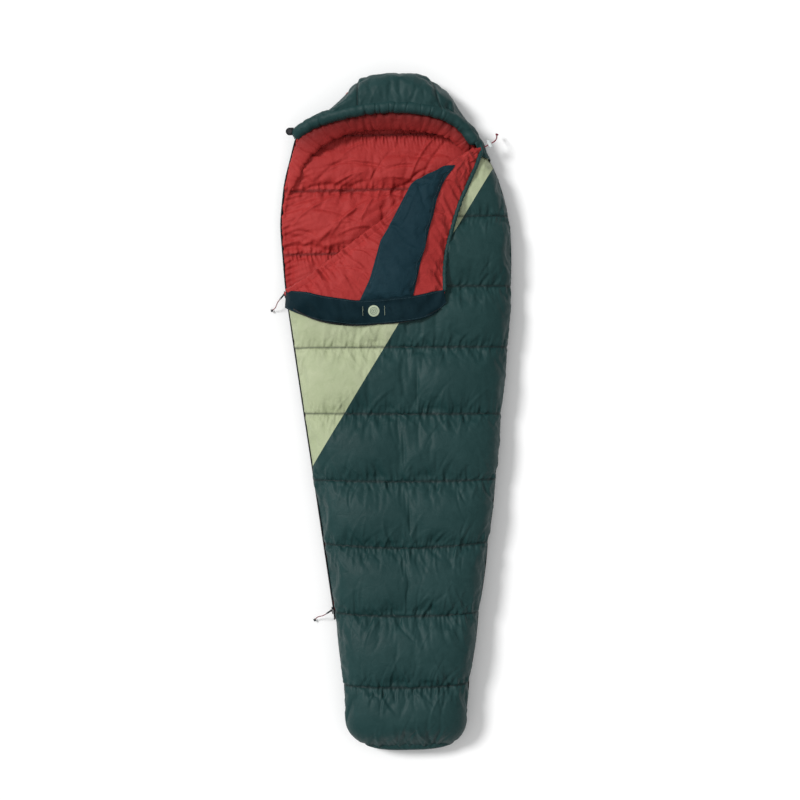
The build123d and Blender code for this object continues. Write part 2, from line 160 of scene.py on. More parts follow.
def fabric(name, colour, raised_and_worn, roughness=0.6, weave=900.0, crease=0.5, crease_scale=38.0, sheen=0.02,
           gloss=0.16):
    """A woven cloth: its darker colour, painted into the crease hollows as crease shade, its lighter colour on
    the raised cloth and in patches of wear, and its relief.
    """
    made = bpy.data.materials.new(name)
    made.use_nodes = True
    tree = made.node_tree
    shader = tree.nodes["Principled BSDF"]
    shader.inputs["Sheen Weight"].default_value = sheen
    shader.inputs["Sheen Roughness"].default_value = 0.45
    shader.inputs["Specular IOR Level"].default_value = gloss
    where = tree.nodes.new("ShaderNodeTexCoord")
    # Painted crease shade: the fine noise both raises the creases and mixes the two colours, so the darker
    # colour lies in the crease hollows. The broad noise mixes them as a random change of dye and wear.
    broad = node(tree, "ShaderNodeTexNoise", Scale=5.0, Detail=4.0)
    fine = node(tree, "ShaderNodeTexNoise", Scale=crease_scale, Detail=6.0, Roughness=0.62, Distortion=0.6)
    for texture in (broad, fine):
        tree.links.new(where.outputs["Object"], texture.inputs["Vector"])
    tones = tree.nodes.new("ShaderNodeMixRGB")
    tones.inputs["Color1"].default_value = (*colour, 1)
    tones.inputs["Color2"].default_value = (*raised_and_worn, 1)
    both = tree.nodes.new("ShaderNodeMath")
    both.operation = "MULTIPLY"
    tree.links.new(broad.outputs["Fac"], both.inputs[0])
    tree.links.new(fine.outputs["Fac"], both.inputs[1])
    spread = node(tree, "ShaderNodeMapRange", From_Min=0.12, From_Max=0.42)
    tree.links.new(both.outputs[0], spread.inputs["Value"])
    tree.links.new(spread.outputs[0], tones.inputs["Fac"])
    # Painted shade: a high seam value darkens the colour to 0.42 of itself, for the hollow of a sewn seam and
    # for the cloth under the hood's rim.
    seam = tree.nodes.new("ShaderNodeAttribute")
    seam.attribute_name = "seam"
    shade = node(tree, "ShaderNodeMapRange", From_Min=0.15, From_Max=0.95, To_Min=1.0, To_Max=0.42)
    tree.links.new(seam.outputs["Fac"], shade.inputs["Value"])
    tone_and_painted_shade = tree.nodes.new("ShaderNodeVectorMath")
    tone_and_painted_shade.operation = "SCALE"
    tree.links.new(tones.outputs[0], tone_and_painted_shade.inputs[0])
    tree.links.new(shade.outputs[0], tone_and_painted_shade.inputs["Scale"])
    tree.links.new(tone_and_painted_shade.outputs[0], shader.inputs["Base Color"])
    rough = node(tree, "ShaderNodeMapRange", To_Min=roughness - 0.07, To_Max=roughness + 0.08)
    tree.links.new(fine.outputs["Fac"], rough.inputs["Value"])
    tree.links.new(rough.outputs[0], shader.inputs["Roughness"])
    threads = []
    for axis in ("X", "Y"):
        wave = node(tree, "ShaderNodeTexWave", Scale=weave / 6.28, Distortion=0.4, Detail=0.0)
        wave.bands_direction = axis
        tree.links.new(where.outputs["Object"], wave.inputs["Vector"])
        threads.append(wave)
    weave_mix = tree.nodes.new("ShaderNodeMath")
    weave_mix.operation = "ADD"
    tree.links.new(threads[0].outputs["Fac"], weave_mix.inputs[0])
    tree.links.new(threads[1].outputs["Fac"], weave_mix.inputs[1])
    weave_bump = node(tree, "ShaderNodeBump", Strength=0.12, Distance=0.0003)
    tree.links.new(weave_mix.outputs[0], weave_bump.inputs["Height"])
    crease_bump = node(tree, "ShaderNodeBump", Strength=crease, Distance=0.004)
    tree.links.new(fine.outputs["Fac"], crease_bump.inputs["Height"])
    tree.links.new(weave_bump.outputs["Normal"], crease_bump.inputs["Normal"])
    tree.links.new(crease_bump.outputs["Normal"], shader.inputs["Normal"])
    return made


# %% [markdown]
# The zip, the sliders and the cord lock are moulded or cast. Their material is simpler: one colour
# with a slight grain, which also changes the roughness and the relief.

# %% Hard pieces
def hard(name, colour, metallic=0.0, roughness=0.35, grain=220.0, bump=0.15):
    """A moulded or cast piece with a slight grain."""
    made = bpy.data.materials.new(name)
    made.use_nodes = True
    tree = made.node_tree
    shader = tree.nodes["Principled BSDF"]
    shader.inputs["Metallic"].default_value = metallic
    where = tree.nodes.new("ShaderNodeTexCoord")
    noise = node(tree, "ShaderNodeTexNoise", Scale=grain, Detail=3.0)
    tree.links.new(where.outputs["Object"], noise.inputs["Vector"])
    tones = tree.nodes.new("ShaderNodeMixRGB")
    tones.inputs["Color1"].default_value = (*colour, 1)
    tones.inputs["Color2"].default_value = (*[min(1, c * 1.7 + 0.01) for c in colour], 1)
    tree.links.new(noise.outputs["Fac"], tones.inputs["Fac"])
    tree.links.new(tones.outputs[0], shader.inputs["Base Color"])
    rough = node(tree, "ShaderNodeMapRange", To_Min=roughness - 0.08, To_Max=roughness + 0.15)
    tree.links.new(noise.outputs["Fac"], rough.inputs["Value"])
    tree.links.new(rough.outputs[0], shader.inputs["Roughness"])
    relief = node(tree, "ShaderNodeBump", Strength=bump, Distance=0.0004)
    tree.links.new(noise.outputs["Fac"], relief.inputs["Height"])
    tree.links.new(relief.outputs["Normal"], shader.inputs["Normal"])
    return made


# %% [markdown]
# Each fabric is named for what it is on the bag. The first colour is the cloth in its creases, a
# painted crease shade, and the second is the same cloth where it is stretched over the raised parts,
# and in patches of wear.

# %% The bag's fabrics and fittings
green_taffeta = fabric("green_taffeta", (0.006, 0.033, 0.033), (0.013, 0.046, 0.046), roughness=0.52, gloss=0.19)
sage_taffeta = fabric("sage_taffeta", (0.34, 0.39, 0.235), (0.42, 0.46, 0.30), crease=0.75)
red_taffeta = fabric("red_taffeta", (0.31, 0.021, 0.020), (0.39, 0.036, 0.033), crease=0.95)
navy_taffeta = fabric("navy_taffeta", (0.004, 0.022, 0.032), (0.009, 0.032, 0.044), roughness=0.66,
                      crease=0.8, gloss=0.10)
band_cloth = fabric("band_cloth", (0.002, 0.013, 0.019), (0.005, 0.019, 0.026), roughness=0.72,
                    crease=0.5, gloss=0.08)
tape_cloth = fabric("tape_cloth", (0.012, 0.014, 0.016), (0.02, 0.023, 0.026), roughness=0.8, weave=1500.0)
coil_nylon = hard("coil_nylon", (0.012, 0.014, 0.016), roughness=0.4)
slider_paint = hard("slider_paint", (0.02, 0.021, 0.023), metallic=0.7, roughness=0.4)
lock_plastic = hard("lock_plastic", (0.42, 0.45, 0.45), roughness=0.42)
maroon_braid = fabric("maroon_braid", (0.17, 0.028, 0.045), (0.25, 0.07, 0.08), roughness=0.8, weave=2600.0)
thread_green = hard("thread_green", (0.012, 0.028, 0.029), roughness=0.7)
thread_navy = hard("thread_navy", (0.02, 0.05, 0.065), roughness=0.7)
thread_red = hard("thread_red", (0.25, 0.02, 0.02), roughness=0.7)
print(len(bpy.data.materials), "materials")

# %% Floor
FLOOR_SIZE, FLOOR_WHITE = 80.0, 0.96
bpy.ops.mesh.primitive_plane_add(size=FLOOR_SIZE, location=(0, 0, -0.0005))
floor = bpy.context.object
floor.name = "studio_floor"
floor_paint = bpy.data.materials.new("floor_paint")
floor_paint.use_nodes = True
paint_shader = floor_paint.node_tree.nodes["Principled BSDF"]
paint_shader.inputs["Base Color"].default_value = (FLOOR_WHITE, FLOOR_WHITE, FLOOR_WHITE, 1)
paint_shader.inputs["Roughness"].default_value = 0.9
floor.data.materials.append(floor_paint)
print("floor", FLOOR_SIZE, "m wide")

# %% [markdown]
# ## Reading the bag's shape off the frame
# Every padded surface follows the CAD shell, so its edges and heights are measured there by casting
# rays at it, and then smoothed along the bag: fabric has no corners between its stations.

# %% Outline of the bag
def mesh_tree(*pieces):
    """A tree of the pieces' faces, for casting rays and for finding the nearest point."""
    points, faces = [], []
    for piece in pieces:
        base = len(points)
        points += [v.co.copy() for v in piece.data.vertices]
        faces += [[base + i for i in p.vertices] for p in piece.data.polygons]
    return BVHTree.FromPolygons(points, faces)


def cad_tree(*names):
    """The same for CAD nodes, by their names."""
    return mesh_tree(*[frame["nodes"][name] for name in names])


def smooth(values, width):
    """Gaussian smoothing that keeps the two end values."""
    reach = int(3 * width)
    kernel = np.exp(-0.5 * (np.arange(-reach, reach + 1) / width) ** 2)
    kernel /= kernel.sum()
    first, last = values[0], values[-1]
    padded = np.concatenate([2 * first - values[reach:0:-1], values, 2 * last - values[-2:-reach - 2:-1]])
    return np.convolve(padded, kernel, "valid")


def smooth_line(line, width, axes=(0, 1, 2)):
    """Smooth a line's coordinates, and return the line."""
    for axis in axes:
        line[:, axis] = smooth(line[:, axis], width)
    return line


# %% [markdown]
# The widest line of the bag is the parting between the front and the underside, where the zip lies.
# Rays are cast a little lower, where the CAD shell is plain, and the rounding is added back.

# %% Stations along the bag
PARTING_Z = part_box("zip_lower_coil")[1][2] + 0.0007
outer = cad_tree("bottom_shell", "front_shell_main", "front_shell_corner", "footbox_shell",
                 "hood_shell_left", "hood_shell_centre", "hood_shell_right")
SCAN_Z = 0.022
SCAN_INSET = PARTING_Z - math.sqrt(PARTING_Z**2 - (PARTING_Z - SCAN_Z) ** 2)
stations = np.linspace(cad_box[0][1] + 0.002, cad_box[1][1] - 0.002, 400)
left_raw, right_raw, crown_raw = [], [], []
for y in stations:
    left_raw.append(outer.ray_cast(Vector((-1, y, SCAN_Z)), Vector((1, 0, 0)))[0].x - SCAN_INSET)
    right_raw.append(outer.ray_cast(Vector((1, y, SCAN_Z)), Vector((-1, 0, 0)))[0].x + SCAN_INSET)
    tops = [outer.ray_cast(Vector((x, y, 1)), Vector((0, 0, -1)))[0] for x in np.linspace(0.0, 0.25, 26)]
    crown_raw.append(max([t.z for t in tops if t is not None and t.z > 0.06], default=np.nan))
crown_raw = np.array(crown_raw)
known = ~np.isnan(crown_raw)
crown_raw = np.interp(stations, stations[known], crown_raw[known])
left_line = smooth(np.array(left_raw), 5)
right_line = smooth(np.array(right_raw), 5)
crown_line = smooth(crown_raw, 6)
print("widest", round(float((right_line - left_line).max()), 3), "m, crown", round(float(crown_line.max()), 3))

# %% [markdown]
# Across the bag the front is an arch that is flatter on top than a circle. A power above 2 in the
# circle's equation gives that, and every piece on the front takes its height from it.

# %% The arch of the front
ARCH_POWER = 3.2


def left_at(y):
    return np.interp(y, stations, left_line)


def right_at(y):
    return np.interp(y, stations, right_line)


def crown_at(y):
    return np.interp(y, stations, crown_line)


def arch_at(y, turn, inset=0.0, left_in=None, right_in=None):
    """A point on the front's surface: turn is pi at the left edge, 0 at the right one."""
    low = left_at(y) + (inset if left_in is None else left_in)
    high = right_at(y) - (inset if right_in is None else right_in)
    middle, half = (low + high) / 2, (high - low) / 2
    tall = crown_at(y) - PARTING_Z - inset
    c, s = np.cos(turn), np.sin(turn)
    x = middle + half * np.sign(c) * np.abs(c) ** (2 / ARCH_POWER)
    z = PARTING_Z + tall * np.abs(s) ** (2 / ARCH_POWER)
    return x, z


def arch_height(x, y, inset=0.0):
    """Height of the front's smooth surface over a plan point."""
    middle = (left_at(y) + right_at(y)) / 2
    half = (right_at(y) - left_at(y)) / 2 - inset
    offset = np.clip(np.abs(x - middle) / half, 0, 1)
    return PARTING_Z + (crown_at(y) - PARTING_Z - inset) * (1 - offset**ARCH_POWER) ** (1 / ARCH_POWER)


print("height over the middle of the chest", round(float(arch_height(0.0, 0.3)), 3), "m")

# %% [markdown]
# The record's fold joint gives the straight line that the flap turns about. The crest that is seen
# curves a little inside that line, so its distance from the line is a short table.

# %% The fold line of the front
fold_joint = joints["flap_fold"]
FOLD_START = np.array(fold_joint["pos_m"])
FOLD_WAY = -np.array(fold_joint["axis"])
FOLD_SIDE = np.array([-FOLD_WAY[1], FOLD_WAY[0], 0.0])
CREST_ALONG = [-0.02, 0.03, 0.08, 0.40, 0.50, 0.60, 0.70, 0.77]
CREST_IN = [0.0, 0.010, 0.016, 0.016, 0.004, 0.0, 0.004, 0.010]


def crest_in(along):
    """How far the crest of the fold lies inside the straight line that it turns about."""
    return np.interp(along, CREST_ALONG, CREST_IN)


def on_fold(points):
    """Distances of points along the fold line, and from it towards the flap, in plan."""
    offset = points - FOLD_START
    along = offset[:, 0] * FOLD_WAY[0] + offset[:, 1] * FOLD_WAY[1]
    return along, -(offset[:, 0] * FOLD_SIDE[0] + offset[:, 1] * FOLD_SIDE[1])


print("fold starts at", FOLD_START.round(3), "and runs along", FOLD_WAY.round(3))


# %% [markdown]
# ## Making quilted cloth
# A quilted panel is two fabrics with fibre between them, sewn through along seams. Each panel is
# made as a grid whose rows fall on the seams. The rows at a seam are held and the rest is blown up
# as cloth that is cut a little larger than its frame, so it rises between the seams and puckers
# along them, as the real one does.

# %% Grid meshes
def row_across(x, y, z):
    """Points side by side across the bag, at one distance along it."""
    return np.stack([x, np.full_like(x, y), z], axis=1)


def grid_mesh(name, points, materials, wrap=False):
    """A mesh from rows and columns of points, with its rows joined end to start if it wraps."""
    rows, columns = points.shape[:2]
    faces = []
    for r in range(rows - 1):
        for c in range(columns if wrap else columns - 1):
            d = (c + 1) % columns
            faces.append((r * columns + c, r * columns + d, (r + 1) * columns + d, (r + 1) * columns + c))
    mesh = bpy.data.meshes.new(name)
    mesh.from_pydata(points.reshape(-1, 3).tolist(), [], faces)
    mesh.shade_smooth()
    for material in materials:
        mesh.materials.append(material)
    made = bpy.data.objects.new(name, mesh)
    bpy.context.scene.collection.objects.link(made)
    return made


def read_points(piece):
    flat = np.empty(len(piece.data.vertices) * 3)
    piece.data.vertices.foreach_get("co", flat)
    return flat.reshape(-1, 3)


def write_points(piece, points):
    piece.data.vertices.foreach_set("co", np.asarray(points, float).reshape(-1))
    piece.data.update()


def mark_seams(piece, rows, columns, seam_rows_here=(), seam_columns_here=()):
    """Give a grid its seam value, which paints shade on the cloth: 1 on the sewn rows and columns, 0 elsewhere.
    """
    value = np.zeros((rows, columns), np.float32)
    for row in seam_rows_here:
        value[row] = 1
    for column in seam_columns_here:
        value[:, column] = 1
    mark = piece.data.attributes.new("seam", "FLOAT", "POINT")
    mark.data.foreach_set("value", value.reshape(-1))


def holding(points, rows, columns=(0, -1)):
    """Which points of a grid the simulation holds still, row by row."""
    held = np.zeros(points.shape[:2])
    held[list(rows)] = 1
    held[:, list(columns)] = 1
    return held.reshape(-1)


print("a grid of 3 by 3 points holds", int(holding(np.zeros((3, 3)), (0, -1)).sum()), "of them at its edge")

# %% [markdown]
# Blender's cloth simulation can blow a sheet up by a pressure. Each panel is cut a few per cent
# larger than its frame, is held at its seams and runs for twenty frames, and then its shape is
# kept. No point may travel further than a cap, which holds a panel back from its neighbours.

# %% Cloth simulation
def billow(jobs, frames=20):
    """Blow up several pieces at once. A job is (piece, held points, pressure, extra cloth, cap)."""
    scene = bpy.context.scene
    scene.frame_set(1)
    starts = []
    for piece, held, pressure, extra, cap in jobs:
        pins = piece.vertex_groups.new(name="held")
        for index in np.flatnonzero(held > 0):
            pins.add([int(index)], float(held[index]), "REPLACE")
        cloth = piece.modifiers.new("cloth", "CLOTH")
        cloth.settings.quality = 6
        cloth.settings.mass = 0.2
        cloth.settings.tension_stiffness = 18
        cloth.settings.compression_stiffness = 18
        cloth.settings.shear_stiffness = 6
        cloth.settings.bending_stiffness = 0.15
        cloth.settings.vertex_group_mass = "held"
        cloth.settings.use_pressure = True
        cloth.settings.uniform_pressure_force = pressure
        cloth.settings.shrink_min = -extra
        cloth.settings.effector_weights.gravity = 0
        cloth.point_cache.frame_start = 1
        cloth.point_cache.frame_end = frames
        starts.append(read_points(piece))
    for step in range(1, frames + 1):
        scene.frame_set(step)
    depsgraph = bpy.context.evaluated_depsgraph_get()
    for (piece, held, pressure, extra, cap), start in zip(jobs, starts):
        posed = piece.evaluated_get(depsgraph).data
        flat = np.empty(len(posed.vertices) * 3)
        posed.vertices.foreach_get("co", flat)
        move = flat.reshape(-1, 3) - start
        length = np.linalg.norm(move, axis=1, keepdims=True)
        move *= np.minimum(1.0, cap / np.maximum(length, 1e-9))
        piece.modifiers.remove(piece.modifiers["cloth"])
        write_points(piece, start + move)
        print(piece.name, "rose by up to", round(float(length.max()) * 1000, 1), "mm")
    scene.frame_set(1)


print("the simulation is", "run")

# %% [markdown]
# A simulated grid is coarse. One or two rounds of subdivision make it smooth, and become part of
# the mesh, so that later pieces can be laid on the surface that is really seen.

# %% Refining and finishing a piece
def refine(piece, levels=1):
    """Rounds of subdivision, made part of the mesh."""
    modifier = piece.modifiers.new("refine", "SUBSURF")
    modifier.levels = modifier.render_levels = levels
    depsgraph = bpy.context.evaluated_depsgraph_get()
    fresh = bpy.data.meshes.new_from_object(piece.evaluated_get(depsgraph))
    piece.modifiers.remove(modifier)
    piece.vertex_groups.clear()
    piece.data = fresh
    fresh.shade_smooth()


def resample(line, count):
    """The same line with evenly spaced points."""
    steps = np.linalg.norm(np.diff(line, axis=0), axis=1)
    along = np.concatenate([[0], np.cumsum(steps)])
    wanted = np.linspace(0, along[-1], count)
    return np.stack([np.interp(wanted, along, line[:, k]) for k in range(3)], axis=1)


def finish_piece(piece, body, replaced):
    """Put a piece on its body, and hide the CAD nodes it stands for."""
    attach(piece, body)
    if replaced:
        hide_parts(*replaced)
    return piece


def seam_rows(counts):
    """Each row's place between its two seams, and the numbers of the rows that lie on a seam."""
    places, on_seam = [], [0]
    for k, count in enumerate(counts):
        places += [(k, step / count) for step in range(count)]
        on_seam.append(on_seam[-1] + count)
    places.append((len(counts) - 1, 1.0))
    return places, on_seam


print("two bays of two rows have seams on rows", seam_rows([2, 2])[1])


# %% [markdown]
# ## The quilted front
# The front is sewn through at eight seams, about 0.2 m apart. Towards the foot each seam hangs a
# little in the middle, because the panel is longer there than at its edges. Above the upper slider
# the panel's left boundary is the fold.

# %% Front panel
SEAM_SPAN = 0.33
FRONT_SEAMS = [  # distance along the bag at the left, the middle and the right
    (-1.046, -1.052, -1.044), (-0.838, -0.860, -0.843), (-0.612, -0.637, -0.625), (-0.396, -0.424, -0.406),
    (-0.204, -0.217, -0.216), (0.002, -0.006, -0.012), (0.207, 0.203, 0.197), (0.393, 0.392, 0.388),
    (0.608, 0.608, 0.606), (0.803, 0.803, 0.803),
]


def seam_y(k, x):
    """Where a front seam lies at a distance across the bag."""
    low, mid, high = FRONT_SEAMS[k]
    u = x / SEAM_SPAN
    return mid + (high - low) / 2 * u + ((high + low) / 2 - mid) * u * u


CELL = 0.0082             # distance between two rows of a grid
FRONT_COLUMNS = 100
front_places, front_seam_rows = seam_rows(
    [int(round((b[1] - a[1]) / CELL)) for a, b in zip(FRONT_SEAMS, FRONT_SEAMS[1:])])
SEAM_DEPTH = 0.013
EDGE_IN = 0.0042          # the panel's edges lie this far inside the finished outline
EDGE_PINCH = 0.006        # and the seams pull the right edge in by this much more
ZIP_FROM, ZIP_TO = -0.650, 0.874
ZIP_LIFT = 0.045          # along the zip the front starts at the upper edge of the tape


FOLD_TAPER = 0.1          # over this length above the fold's start the seams turn straight


def edge_inset(share):
    """How far a seam pulls the outline in, at a place between two seams."""
    return EDGE_IN + EDGE_PINCH * (1 - math.sin(math.pi * share) ** 0.5)


front_points = []
for k, share in front_places:
    y0 = FRONT_SEAMS[k][1] * (1 - share) + FRONT_SEAMS[k + 1][1] * share
    on_zip = ZIP_FROM < y0 < ZIP_TO
    turns = np.linspace(math.pi - (ZIP_LIFT if on_zip else 0.0), 0.0, 400)
    inset = SEAM_DEPTH * (1 - math.sin(math.pi * share) ** 0.5) + 0.004
    x, z = arch_at(y0, turns, inset, EDGE_IN if on_zip else edge_inset(share), edge_inset(share))
    line = row_across(x, y0, z)
    fold_x = FOLD_START[0] + (y0 - FOLD_START[1]) * FOLD_WAY[0] / FOLD_WAY[1]
    fold_x += crest_in((y0 - FOLD_START[1]) / FOLD_WAY[1]) / FOLD_WAY[1]
    if y0 > FOLD_START[1]:
        line = line[x > fold_x]
    line = resample(line, FRONT_COLUMNS)
    taper = 1.0 if y0 < FOLD_START[1] else max(0.0, 1 - (y0 - FOLD_START[1]) / FOLD_TAPER)
    bend = seam_y(k, line[:, 0]) * (1 - share) + seam_y(k + 1, line[:, 0]) * share - y0
    line[:, 1] += bend * taper
    front_points.append(line)
front_points = np.array(front_points)
front = grid_mesh("front_quilt", front_points, [green_taffeta])
front_held = holding(front_points, front_seam_rows + [0, -1])
mark_seams(front, *front_points.shape[:2], front_seam_rows)
print("front quilt has", len(front_points), "rows and", FRONT_COLUMNS, "columns")


# %% [markdown]
# ## The lining on the inside
# The red lining of the underside shows through the open mouth. It is sewn through at its own seams
# and gathered along the zip, and it swells up between them.

# %% Lining of the underside
LINING_SEAMS = [0.20, 0.352, 0.503, 0.703, 0.875, 1.02]
lining_places, lining_seam_rows = seam_rows(
    [int(round((b - a) / CELL)) for a, b in zip(LINING_SEAMS, LINING_SEAMS[1:])])
LINING_COLUMNS = 76
LINING_Z = PARTING_Z - 0.0022
LINING_SWELL = 0.016      # the height of its bays before they are blown up
lining_points = []
for k, share in lining_places:
    y = LINING_SEAMS[k] * (1 - share) + LINING_SEAMS[k + 1] * share
    u = np.linspace(0, 1, LINING_COLUMNS)
    low, high = left_at(y) + 0.0052, right_at(y) - 0.034
    x = low + (high - low) * u
    swell = math.sin(math.pi * share) ** 0.6
    z = LINING_Z + LINING_SWELL * swell * np.sin(np.pi * u) ** 0.25
    lining_points.append(row_across(x, y, z))
lining_points = np.array(lining_points)
lining = grid_mesh("underside_lining", lining_points, [red_taffeta])
lining_held = holding(lining_points, lining_seam_rows)
mark_seams(lining, *lining_points.shape[:2], lining_seam_rows)
print("lining has", len(lining_points), "rows and", LINING_COLUMNS, "columns")

# %% [markdown]
# ## The hood
# Three panels make the hood: a centre panel and a gusset on either side. It is full and rounded
# where it meets the rim, and comes down to the floor behind.

# %% Rim line
def centre_line(name, count):
    """The middle of a CAD tube that runs across the bag, read off its points."""
    points = np.array([v.co for v in frame["nodes"][name].data.vertices])
    bins = np.linspace(points[:, 0].min(), points[:, 0].max(), 46)
    middle = []
    for a, b in zip(bins, bins[1:]):
        inside = points[(points[:, 0] >= a) & (points[:, 0] <= b)]
        if len(inside) > 2:
            middle.append((inside.min(axis=0) + inside.max(axis=0)) / 2)
    return resample(smooth_line(np.array(middle), 0.8, (1, 2)), count)


RIM_POINTS = 240
rim_line = centre_line("hood_drawcord", RIM_POINTS)
print("rim runs from", rim_line[0].round(3), "to", rim_line[-1].round(3))

# %% [markdown]
# Each row of the hood's grid lies between the rim and the base edge. Both edges are cut at the two
# gusset seams, so that the same columns run along each seam from the rim to the base.

# %% Hood edges
HOOD_ROWS = 22
HOOD_COUNTS = [26, 38, 28]     # columns of the left gusset, the centre panel and the right gusset
GUSSET_X = (-0.115, 0.151)
HOOD_MIDDLE = np.array([0.0, 0.93])


def split_line(line, xs):
    """A line cut at two places across the bag, in three parts."""
    first = int(np.argmax(line[:, 0] > xs[0]))
    last = int(np.argmax(line[:, 0] > xs[1]))
    return line[:first + 1], line[first:last + 1], line[last:]


top_y = float(stations[-1])
base_left = [(left_at(y) + 0.004, y, PARTING_Z) for y in np.linspace(0.888, 1.04, 40)]
base_right = [(right_at(y) - 0.004, y, PARTING_Z) for y in np.linspace(1.043, 0.785, 54)]
corner_l, corner_r = base_left[-1], base_right[0]
base_top = []
for u in np.linspace(0, 1, 40):
    x = corner_l[0] * (1 - u) + corner_r[0] * u
    base_top.append((x, corner_l[1] + (top_y - corner_l[1]) * math.sin(math.pi * u) ** 0.35, PARTING_Z))
base_parts = [np.array(base_left), np.array(base_top), np.array(base_right)]
neck_end = np.array([0.266, 0.797, float(arch_height(0.266, 0.797)) - 0.016])
rim_run = np.vstack([rim_line, rim_line[-1:] * 0.5 + neck_end * 0.5, neck_end])
rim_parts = split_line(rim_run, GUSSET_X)


def edge_columns(parts):
    """One point for each column of the hood, along an edge that comes in three parts."""
    return np.concatenate([resample(p, n)[:-1] for p, n in zip(parts, HOOD_COUNTS)] + [parts[2][-1:]])


rim_edge, base_edge = edge_columns(rim_parts), edge_columns(base_parts)
print("hood edges have", len(rim_edge), "columns")

# %% [markdown]
# The dome falls from the rim to the base with a little extra fullness behind the rim. The last
# rows run on under the edge, so that no gap shows from behind.

# %% Hood grid
HOOD_FULL = 0.012         # extra height behind the rim
SKIRT_ROWS, SKIRT_REACH = 6, 0.038
hood_points = []
for v in np.linspace(0, 1, HOOD_ROWS):
    turn = v * math.pi / 2
    reach = math.sin(turn) ** 0.85
    drop = math.cos(turn) ** 0.75
    line = rim_edge * (1 - reach) + base_edge * reach
    height = rim_edge[:, 2] - PARTING_Z + HOOD_FULL
    line[:, 2] = PARTING_Z + height * drop + HOOD_FULL * math.sin(math.pi * min(1, v * 1.6)) * (height / 0.1)
    hood_points.append(line)
for turn in np.linspace(0.25, 1.45, SKIRT_ROWS):
    line = base_edge.copy()
    inward = HOOD_MIDDLE - base_edge[:, :2]
    inward /= np.linalg.norm(inward, axis=1, keepdims=True)
    line[:, :2] += inward * SKIRT_REACH * (1 - math.cos(turn))
    line[:, 2] = PARTING_Z - SKIRT_REACH * math.sin(turn)
    hood_points.append(line)
hood_points = np.array(hood_points)
hood = grid_mesh("hood_quilt", hood_points, [green_taffeta])
hood_seam_columns = [HOOD_COUNTS[0] - 1, HOOD_COUNTS[0] + HOOD_COUNTS[1] - 2]
hood_held = holding(hood_points, [0, *range(HOOD_ROWS - 1, len(hood_points))], [0, -1] + hood_seam_columns)
mark_seams(hood, *hood_points.shape[:2], (), hood_seam_columns)
for c in hood_seam_columns:
    hood_points[:, c, 2] -= 0.006
write_points(hood, hood_points.reshape(-1, 3))
print("hood grid", hood_points.shape)


# %% [markdown]
# ## The folded flap
# The unzipped corner lies on the front with its lining up. It is one pillow of two fabrics, thin at
# its fold and its edges, with the padded collar, the stiff band and the patch on top of it.

# %% Flap outline
def edge_distance(tree, z, along):
    """How far the flap reaches from the fold line, at a distance along it."""
    start = FOLD_START + FOLD_WAY * along
    hit = tree.ray_cast(Vector((*(start - FOLD_SIDE * 0.6)[:2], z)), Vector(FOLD_SIDE))
    return None if hit[0] is None else float(np.dot(np.array(hit[0]) - start, -FOLD_SIDE))


flap_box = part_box("flap_insulation")
flap_tree = cad_tree("flap_insulation")
FLAP_MID_Z = (flap_box[0][2] + flap_box[1][2]) / 2
along_values, far_values = [], []
for along in np.linspace(-0.02, 0.72, 260):
    far = edge_distance(flap_tree, FLAP_MID_Z, along)
    if far is not None and far > 0.004:
        along_values.append(along)
        far_values.append(far)
along_values, far_values = np.array(along_values), smooth(np.array(far_values), 1.5)
TIP = np.array([(0.728, 0.042), (0.745, 0.034), (0.758, 0.026), (0.766, 0.016)])
body_part = along_values < 0.712
along_values = np.append(along_values[body_part], TIP[:, 0])
far_values = np.append(far_values[body_part], TIP[:, 1])
print("flap runs", along_values[0].round(3), "to", along_values[-1].round(3), "m along the fold, up to",
      far_values.max().round(3), "m wide")


# %% [markdown]
# The pillow's two fabrics share one plan. The upper one is blown up. The lower one lies on the
# front's smooth arch, and is later kept just under the upper one.

# %% The flap's pillow
FLAP_STEPS, FLAP_ACROSS, FLAP_LOFT = 96, 42, 0.027


def flap_reach(along):
    """How far the flap's free edge lies from the fold line."""
    return np.interp(along, along_values, far_values)


def flap_plan(along, share):
    """Plan points of the flap: share is 0 at its crest and 1 at its free edge."""
    near, far = crest_in(along), flap_reach(along)
    reach = near + (far - near) * share
    return FOLD_START[None, :2] + FOLD_WAY[None, :2] * along - FOLD_SIDE[None, :2] * reach[:, None]


flap_top, flap_low = [], []
for along in np.linspace(along_values[0], along_values[-1], FLAP_STEPS):
    share = np.linspace(0, 1, FLAP_ACROSS)
    plan = flap_plan(along, share)
    ground = arch_height(plan[:, 0], plan[:, 1]) + 0.001
    end = min(1.0, (along - along_values[0]) / 0.05, (along_values[-1] - along) / 0.04)
    loft = FLAP_LOFT * np.clip(np.sin(np.pi * share), 0, 1) ** 0.35 * max(end, 0.05) ** 0.5
    loft = np.maximum(loft, 0.003)
    flap_top.append(np.stack([plan[:, 0], plan[:, 1], ground + loft], axis=1))
    flap_low.append(np.stack([plan[:, 0], plan[:, 1], ground], axis=1))
flap_top, flap_low = np.array(flap_top), np.array(flap_low)
flap = grid_mesh("flap_lining", flap_top, [red_taffeta])
flap_under = grid_mesh("flap_shell_cloth", flap_low, [sage_taffeta])
flap_held = holding(flap_top, (0, -1))
print("flap grid", flap_top.shape[:2])

# %% [markdown]
# The four panels are blown up in one run, which takes less time than four. Each line gives the
# pressure, the share of extra cloth, and the furthest that a point may travel.

# %% Blow up the padded panels together
billow([
    (front, front_held, 1.6, 0.045, 0.030),
    (lining, lining_held, 2.0, 0.05, 0.032),
    (hood, hood_held, 1.6, 0.05, 0.022),
    (flap, flap_held, 1.5, 0.05, 0.026),
])

# %% [markdown]
# The sewing thread draws each seam tight, so the cloth beside it stands in fine short gathers. They
# are added to the blown-up panels, strongest at the seam and gone a hand's breadth away from it.

